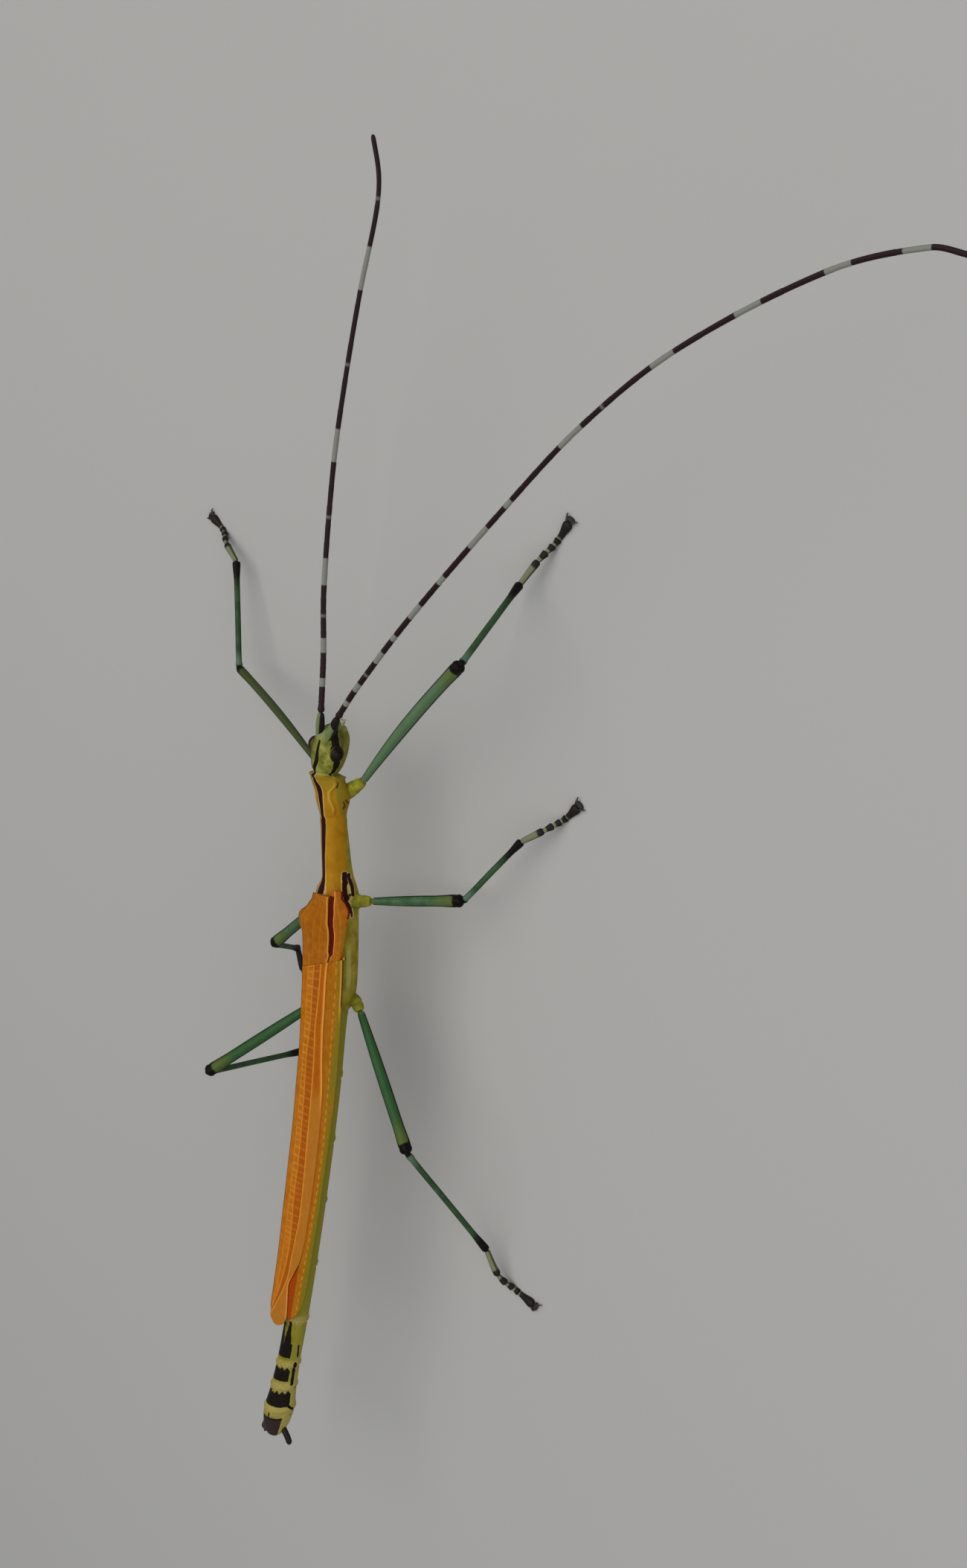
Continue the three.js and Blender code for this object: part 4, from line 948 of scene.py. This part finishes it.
def forewing_top(word):
    """The surface of a forewing: the bed's height, a bell for the shoulder, less the square of what
    lies beyond the drape's start, plus veins, wrinkles (a product of two sines) and its margin."""
    def top(y, side):
        away = np.hypot(y - SHOULDER["y"], side + SHOULDER["side"]) / SHOULDER["reach"]
        high = wing_floor(y, side) + WING_HEIGHT + SHOULDER["height"] * np.exp(-(away**2))
        high = high - DRAPE * np.clip(side - DRAPE_FROM, 0, 9) ** 2
        high = high + 0.02 * vein_height(y, side, FOREWING_VEINS[word], VEIN_REACH)
        wrinkles = np.sin(y * 8.5 + 3 * np.sin(side * 3.1)) * np.sin(side * 9 + 1.7 * np.sin(y * 2.3))
        high = high + 0.012 * rise(wrinkles, 0.2, 0.9)
        if word == "right":
            strip = side - along(SUTURE, y) - along(STRIP, y)
            return high - 0.07 * rise(strip, 0.03, -0.03) + 0.03 * hump(strip, 0.06, 0.05)
        return high + 0.04 * hump(along(SUTURE, y) - STRIP_REACH - side, 0.1, 0.06)
    return top


def wing_paint(name, base, light, deep, dark, edge_tone):
    """A wing's material. Its lay's third number is how much a vein shows; its marks are how deep the
    orange is, how much of the edge tone there is, and how far inside a dark margin a point lies."""
    paint = Paint(name, ior=1.45, specular_ior_level=0.1)
    vein = paint.field()[2]
    deeper, edging, margin = paint.field("marks")
    clouds, fine = paint.noise(0.6, 3.0), paint.noise(0.09)
    grain = paint.noise(0.2, 3.0, rough=0.7)
    colour = clouds.rise(0.3, 0.7).blend(base, light).coats(
        (deeper, deep),
        (edging, edge_tone),
        (grain.rise(0.5, 0.75) * 0.25, rgb(206, 136, 48)),
        (vein * 0.95, rgb(234, 158, 66)),
        ((margin + (fine - 0.5) * 0.06).rise(-0.02, 0.02), dark))
    return paint.finish(colour, 0.5 + fine * 0.2, fine * 0.5 + grain * 0.5, 0.03)


leather = wing_paint("forewing", rgb(154, 87, 5), rgb(174, 102, 13), rgb(148, 76, 3), rgb(86, 12, 4),
                     rgb(128, 98, 22))
FOREWING_ENDS = {"left": (0.78, -5.4), "right": (1.35, -5.4)}  # y of the first and last ring
for word, out in SIDES.items():
    first, last = FOREWING_ENDS[word]
    rows = np.concatenate([np.linspace(first, first - 0.14, 10),
                           np.linspace(first - 0.17, last + 0.17, 180), np.linspace(last + 0.14, last, 10)])
    inner = along(SUTURE, rows) + out * 0.03 - STRIP_REACH
    outer = out * along(FOREWING_WIDTH[word], rows)
    if word == "left":  # the front edge runs slantwise from the suture to the shoulder
        outer = np.minimum(outer, inner - 0.05)
    else:
        inner = np.minimum(inner + 0.35 * rise(rows, 0.9, 1.35), outer - 0.05)
    rings, side, y = wing(inner, outer, rows, forewing_top(word), PLATES["forewing"])
    vein = 0.1 * vein_height(y, side, FOREWING_VEINS[word], VEIN_REACH)
    strip = side - along(SUTURE, y)
    if word == "left":
        margin = 0.07 + 0.08 * rise(y, -2.6, -2.0) - side - along(FOREWING_WIDTH["left"], y)
        vein = np.maximum(vein, 0.8 * hump(strip, -0.1 - STRIP_REACH, 0.07))
        edging = 0.0
    else:
        width = along(STRIP, y)
        front_edge = np.minimum(0.06 - (outer[:, None] - side), y + 0.9)
        margin = np.maximum(least(width - strip, y + 4.85, 0.9 - y), front_edge)
        vein = np.maximum(vein, 0.9 * hump(strip, width + 0.06, 0.05))
        edging = rise(side, 1.9, 2.4) * rise(y, -1.0, -2.5) * 0.8
    made = Shell().add(rings, (side, y, vein), (0.3 * rise(np.abs(strip), 2.5, 0.5), edging, margin),
                       outward=out > 0)
    made = made.piece(f"forewing_{word}", leather)
    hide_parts(f"tegmen_{word}")
    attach(made, "root")

# Hindwings: the left one lies over the right. Lengthwise veins, with rungs between two of them;
# near the tip the left one's inner edge swings away and bares the deep orange sail below it.
MAIN_VEIN = [[-5.5, -0.15], [-8.9, -0.42], [-10.5, -0.55], [-12.3, -0.46], [-14.0, -0.36], [-16.8, -0.24],
             [-20.2, -0.11], [-23.1, 0.04], [-25.0, 0.13], [-27.2, 0.19], [-28.7, 0.08], [-30.9, -0.08],
             [-32.2, -0.15], [-33.4, -0.42], [-34.4, -0.76], [-35.4, -1.2], [-36.4, -1.6]]
THIRD_VEIN = [[-5.5, -1.0], [-7.0, -1.15], [-10.4, -1.21], [-13.3, -1.4], [-16.6, -1.2], [-18.7, -1.07],
              [-22.0, -0.92], [-25.6, -0.86], [-27.5, -0.7], [-30.0, -0.6], [-33.0, -0.9], [-36.0, -1.7]]
FOURTH_VEIN = [[-5.5, -1.8], [-10.0, -1.95], [-18.0, -1.75], [-26.0, -1.45], [-33.0, -1.35], [-36.0, -1.75]]
DOTTED_VEIN = [[-5.5, 1.7], [-8.0, 1.6], [-10.3, 1.5], [-15.8, 1.66], [-20.5, 1.8], [-26.0, 1.75],
               [-34.0, 1.5]]
TONGUE = 0.16  # how high a hindwing's first stretch, which lies under the forewing, stands on its bed
LEDGE = 0.14  # how high the right hindwing's top stands on its bed where the left one covers it
SAIL_DEPTH = 0.14  # how far the sail lies below the rest of the right hindwing
SAIL_EDGE = 0.86  # the side of the crease where the right hindwing rises beside the sail
RUNG_STEP = 0.56  # from one rung of the left hindwing to the next
DOTS = 9  # radians of the dotted vein's sine for each mm along y


def tucked(high, y, side):
    """The height of a hindwing's top, held down to the tongue's where the forewing lies over it."""
    return np.minimum(high, wing_floor(y, side) + TONGUE + 9 * rise(y, -5.4, -5.44))


def left_top(y, side):
    """The surface of the left hindwing: the bed's height, a bell along each vein and along the inner
    edge, and a trough beside the main vein towards the tip."""
    high = wing_floor(y, side) + WING_HEIGHT + 0.05 * vein_height(y, side, [MAIN_VEIN, THIRD_VEIN], 0.05)
    high = high + 0.02 * ridge(y, side, FOURTH_VEIN, 0.05)
    high = high + 0.07 * hump(side, along(SUTURE, y) - 0.08, 0.07) * rise(y, -19.0, -15.0)
    high = high - 0.06 * rise(y, -20.0, -24.0) * hump(side, along(MAIN_VEIN, y) - 0.35, 0.3)
    return tucked(high, y, side)


def right_top(y, side):
    """The surface of the right hindwing: low on its bed left of the suture, a step up to full height
    right of it, a second step beside the sail, and a square bend down over the flank."""
    suture = along(SUTURE, y)
    sunken = rise(y, -28.5, -30.5)  # 1 along the sail, and 0 ahead of it
    beside = side - np.maximum(suture, SAIL_EDGE * sunken)
    step = WING_HEIGHT - (LEDGE + 0.02) - SAIL_DEPTH * sunken
    high = wing_floor(y, side) + LEDGE + step * rise(side - suture, -0.03, 0.03)
    high = high + SAIL_DEPTH * sunken * rise(beside, 0.0, 0.12)
    high = high + 0.035 * ridge(y, side, DOTTED_VEIN, 0.05) * rise(np.sin(y * DOTS), -0.6, 0.2)
    return tucked(high - 0.25 * np.clip(side - 1.75, 0, 9) ** 2, y, side)


left_wing = wing_paint("hindwing_left", rgb(176, 99, 4), rgb(192, 114, 16), rgb(158, 74, 0),
                       rgb(84, 44, 10), rgb(172, 112, 38))
right_wing = wing_paint("hindwing_right", rgb(158, 94, 4), rgb(170, 106, 12), rgb(160, 60, 0),
                        rgb(70, 48, 12), rgb(122, 108, 20))
for word, out, paint, top, last in (("left", -1, left_wing, left_top, -37.12),
                                    ("right", 1, right_wing, right_top, -36.2)):
    rows = np.concatenate([np.linspace(-5.2, -5.55, 36), np.linspace(-5.6, last + 1.9, 360),
                           last + 0.02 + 1.84 * np.linspace(1, 0, 60) ** 1.6])
    inner = along(SUTURE, rows) - 0.02
    outer = out * along(HINDWING_WIDTH[word], rows)
    centre, blunt = out * 0.75, 1.5  # the tip narrows on this side, over this length
    if word == "right":
        inner, blunt = inner - 0.14 - 0.22 * rise(rows, -29.0, -31.5), 2.2
    tip = np.clip((last + blunt - rows) / blunt, 0, 0.995)
    narrow = np.sqrt(1 - tip**2.4)
    inner, outer = (centre + (edge - centre) * narrow for edge in (inner, outer))
    if word == "right":
        outer = outer - 0.36 * rise(rows, last + blunt, last)
    rings, side, y = wing(inner, outer, rows, top, PLATES[word])
    beside = side - along(SUTURE, y)
    if word == "left":
        main, third = (side - along(line, y) for line in (MAIN_VEIN, THIRD_VEIN))
        vein = np.max([0.62 * hump(main, 0, 0.07), 0.5 * hump(third, 0, 0.07),
                       0.3 * ridge(y, side, FOURTH_VEIN, 0.07),
                       np.minimum(1.2 * hump(beside, -0.1, 0.13) * rise(y, -18.5, -15.0), 1.0),
                       0.7 * hump(beside, -0.05, 0.06) * rise(y, -31.5, -33.0)], axis=0)
        rung = np.abs(np.mod(y / RUNG_STEP + 0.35 * np.sin(y * 1.3), 1.0) - 0.5)
        ladder = rise(third, -0.75, -0.65) * rise(third, 0.0, -0.05)
        ladder = ladder + 0.5 * rise(third, 0, 0.05) * rise(main, 0, -0.05)
        vein = np.maximum(vein, 0.5 * rise(rung, 0.36, 0.46) * ladder * rise(y, -31.0, -28.0))
        deep = 0.6 * rise(main, 0.0, 0.1) * rise(y, -17.5, -15.0)
        deep = deep + 0.75 * rise(third, 0.0, 0.08) * rise(main, 0.0, -0.06)
        edging = 0.7 * rise(main, 0.05, 0.2) * rise(y, -15.0, -17.5)
        margin = 0.12 - (side - outer[:, None])
    else:
        vein = 0.55 * ridge(y, side, DOTTED_VEIN, 0.06) * rise(np.sin(y * DOTS), -0.3, 0.3)
        vein = np.maximum(vein, 0.75 * hump(outer[:, None] - side, 0.1, 0.06) * rise(y, -10.0, -8.0))
        sail = rise(side, SAIL_EDGE + 0.03, SAIL_EDGE - 0.05) * rise(y, -28.0, -29.5)
        deep = np.clip(sail + 0.5 * rise(beside, 0.3, 0.1) * rise(y, -30.0, -27.0), 0, 1)
        edging = rise(side + 0.3 * rise(y, -7.0, -16.0), 1.45, 2.3) * rise(y, -20.0, -14.0)
        beyond = rise(side - along(DOTTED_VEIN, y), 0.0, 0.3) * rise(y, -13.0, -20.0)
        edging = np.maximum(edging, beyond) * (1 - sail)
        # A dark line is painted along the suture, where the right hindwing passes under the left one: painted
        # shade.
        crease_shade = np.abs(beside) + 0.06 * rise(y, -18.0, -15.0)
        margin = 0.04 - np.minimum(crease_shade, np.abs(outer[:, None] - side) + rise(y, -8.0, -11.0))
    made = Shell().add(rings, (side, y, vein), (deep, edging, margin), outward=out > 0)
    made = made.piece(f"hindwing_{word}_folded", paint)
    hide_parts(f"hindwing_{word}")
    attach(made, "root")

# ---- Tail feelers ------------------------------------------------------------------------------
# Two short curved cerci, horny feelers at the tail: dark, finely hairy, and joined at their base to
# the sides of the last ring.

CERCUS = {"side": 0.6, "y": -46.8, "radius": 0.27, "reach": 1.6, "sweep": 1.15, "hang": 0.4}
cerci = Shell()
for side in (-1, 1):
    t = ends_dense(36)[:, None]
    spread = side * (CERCUS["side"] + CERCUS["sweep"])
    base = from_axis(CERCUS["y"], side * CERCUS["side"], 0.0)
    bend = from_axis(CERCUS["y"] - CERCUS["reach"] / 2, spread, -CERCUS["hang"] / 4)
    tip = from_axis(CERCUS["y"] - CERCUS["reach"], spread, -CERCUS["hang"])
    centres = (1 - t) ** 2 * base + 2 * t * (1 - t) * bend + t**2 * tip
    t = t[:, 0]
    radius = CERCUS["radius"] * np.sqrt(1 - 0.15 * t)
    add_tube(cerci, t, centres, radius, (0.05, 0.2), UP, (t, 0.0), columns=20)
tail_horn = Paint("cercus", ior=1.5, specular_ior_level=0.25)
t = tail_horn.field()[1]
fine = tail_horn.noise(0.08)
colour = t.rise(0.1, 0.25).blend(rgb(50, 42, 26), rgb(22, 16, 13))
cercus_piece = cerci.piece("cerci", tail_horn.finish(colour, 0.4 + fine * 0.2, fine, 0.01))
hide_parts("cercus_left", "cercus_right")
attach(cercus_piece, "root")

# ---- Floor, light and camera -------------------------------------------------------------------
# A plain pale grey floor, painted and matt, with nothing on it but the insect. A broad soft lamp
# hangs overhead to the left, and a weak fill stands on the right.

FLOOR_HALF = 1.2  # in metres
floor_mesh = bpy.data.meshes.new("floor")
floor_mesh.from_pydata([(-FLOOR_HALF, -FLOOR_HALF, 0), (FLOOR_HALF, -FLOOR_HALF, 0),
                        (FLOOR_HALF, FLOOR_HALF, 0), (-FLOOR_HALF, FLOOR_HALF, 0)], [], [(0, 1, 2, 3)])
floor_paint = Paint("floor", roughness=0.9)
floor_paint.shader.inputs["Base Color"].default_value = rgb(176, 175, 172)
floor_mesh.materials.append(floor_paint.material)
floor = bpy.data.objects.new("floor", floor_mesh)
bpy.context.collection.objects.link(floor)

# The camera looks down from the insect's right. Its turn, tilt and roll; its focal length and the
# view's width, in pixels; where the insect's own zero lies off its axis, and how far away it is.
VIEW_TURN, VIEW_TILT, VIEW_ROLL = math.radians(40.43), math.radians(-10.70), math.radians(0.74)
VIEW_FOCAL, VIEW_WIDTH = 2304.0, 1300.0
VIEW_SHIFT, VIEW_DISTANCE = (-6.29, -8.34), 143.0
SENSOR = 36.0
towards = np.array([math.sin(VIEW_TURN) * math.cos(VIEW_TILT), -math.sin(VIEW_TILT),
                    math.cos(VIEW_TURN) * math.cos(VIEW_TILT)])
ahead = unit(np.array([0.0, 1.0, 0.0]) - towards * towards[1])
right = np.cross(ahead, towards)
view_right = right * math.cos(VIEW_ROLL) + ahead * math.sin(VIEW_ROLL)
view_up = -right * math.sin(VIEW_ROLL) + ahead * math.cos(VIEW_ROLL)
eye_point = -VIEW_SHIFT[0] * view_right - VIEW_SHIFT[1] * view_up + VIEW_DISTANCE * towards

camera_data = bpy.data.cameras.new("camera")
camera_data.sensor_fit = "HORIZONTAL"
camera_data.sensor_width = SENSOR
camera_data.lens = VIEW_FOCAL / VIEW_WIDTH * SENSOR
camera_data.clip_start = 0.005
camera = bpy.data.objects.new("camera", camera_data)
bpy.context.collection.objects.link(camera)
camera.matrix_world = Matrix([
    [*(float(v) for v in (view_right[i], view_up[i], towards[i])), float(eye_point[i] - MIDDLE[i]) * MM]
    for i in range(3)] + [[0, 0, 0, 1]])
bpy.context.scene.camera = camera
bpy.context.scene.view_settings.view_transform = "Standard"


def lamp(name, place, size, power, tint):
    """A square soft lamp at place, that faces the insect's middle; its size is in metres."""
    data = bpy.data.lights.new(name, "AREA")
    data.shape, data.size, data.energy, data.color = "SQUARE", size, power, tint
    made = bpy.data.objects.new(name, data)
    bpy.context.collection.objects.link(made)
    back = unit(np.array(place, float))
    across = unit(np.cross([0.0, 1.0, 0.0], back))
    up = np.cross(back, across)
    made.matrix_world = Matrix([
        [across[i], up[i], back[i], place[i] * MM] for i in range(3)] + [[0, 0, 0, 1]])


lamp("key", (-60.0, 180.0, 420.0), 0.5, 1.46, (1.0, 0.98, 0.95))
lamp("fill", (320.0, -60.0, 260.0), 0.4, 0.6, (0.97, 0.98, 1.0))
world = bpy.data.worlds.new("studio")
world.use_nodes = True
world.node_tree.nodes["Background"].inputs["Color"].default_value = (0.82, 0.85, 0.9, 1)
world.node_tree.nodes["Background"].inputs["Strength"].default_value = 0.29
bpy.context.scene.world = world
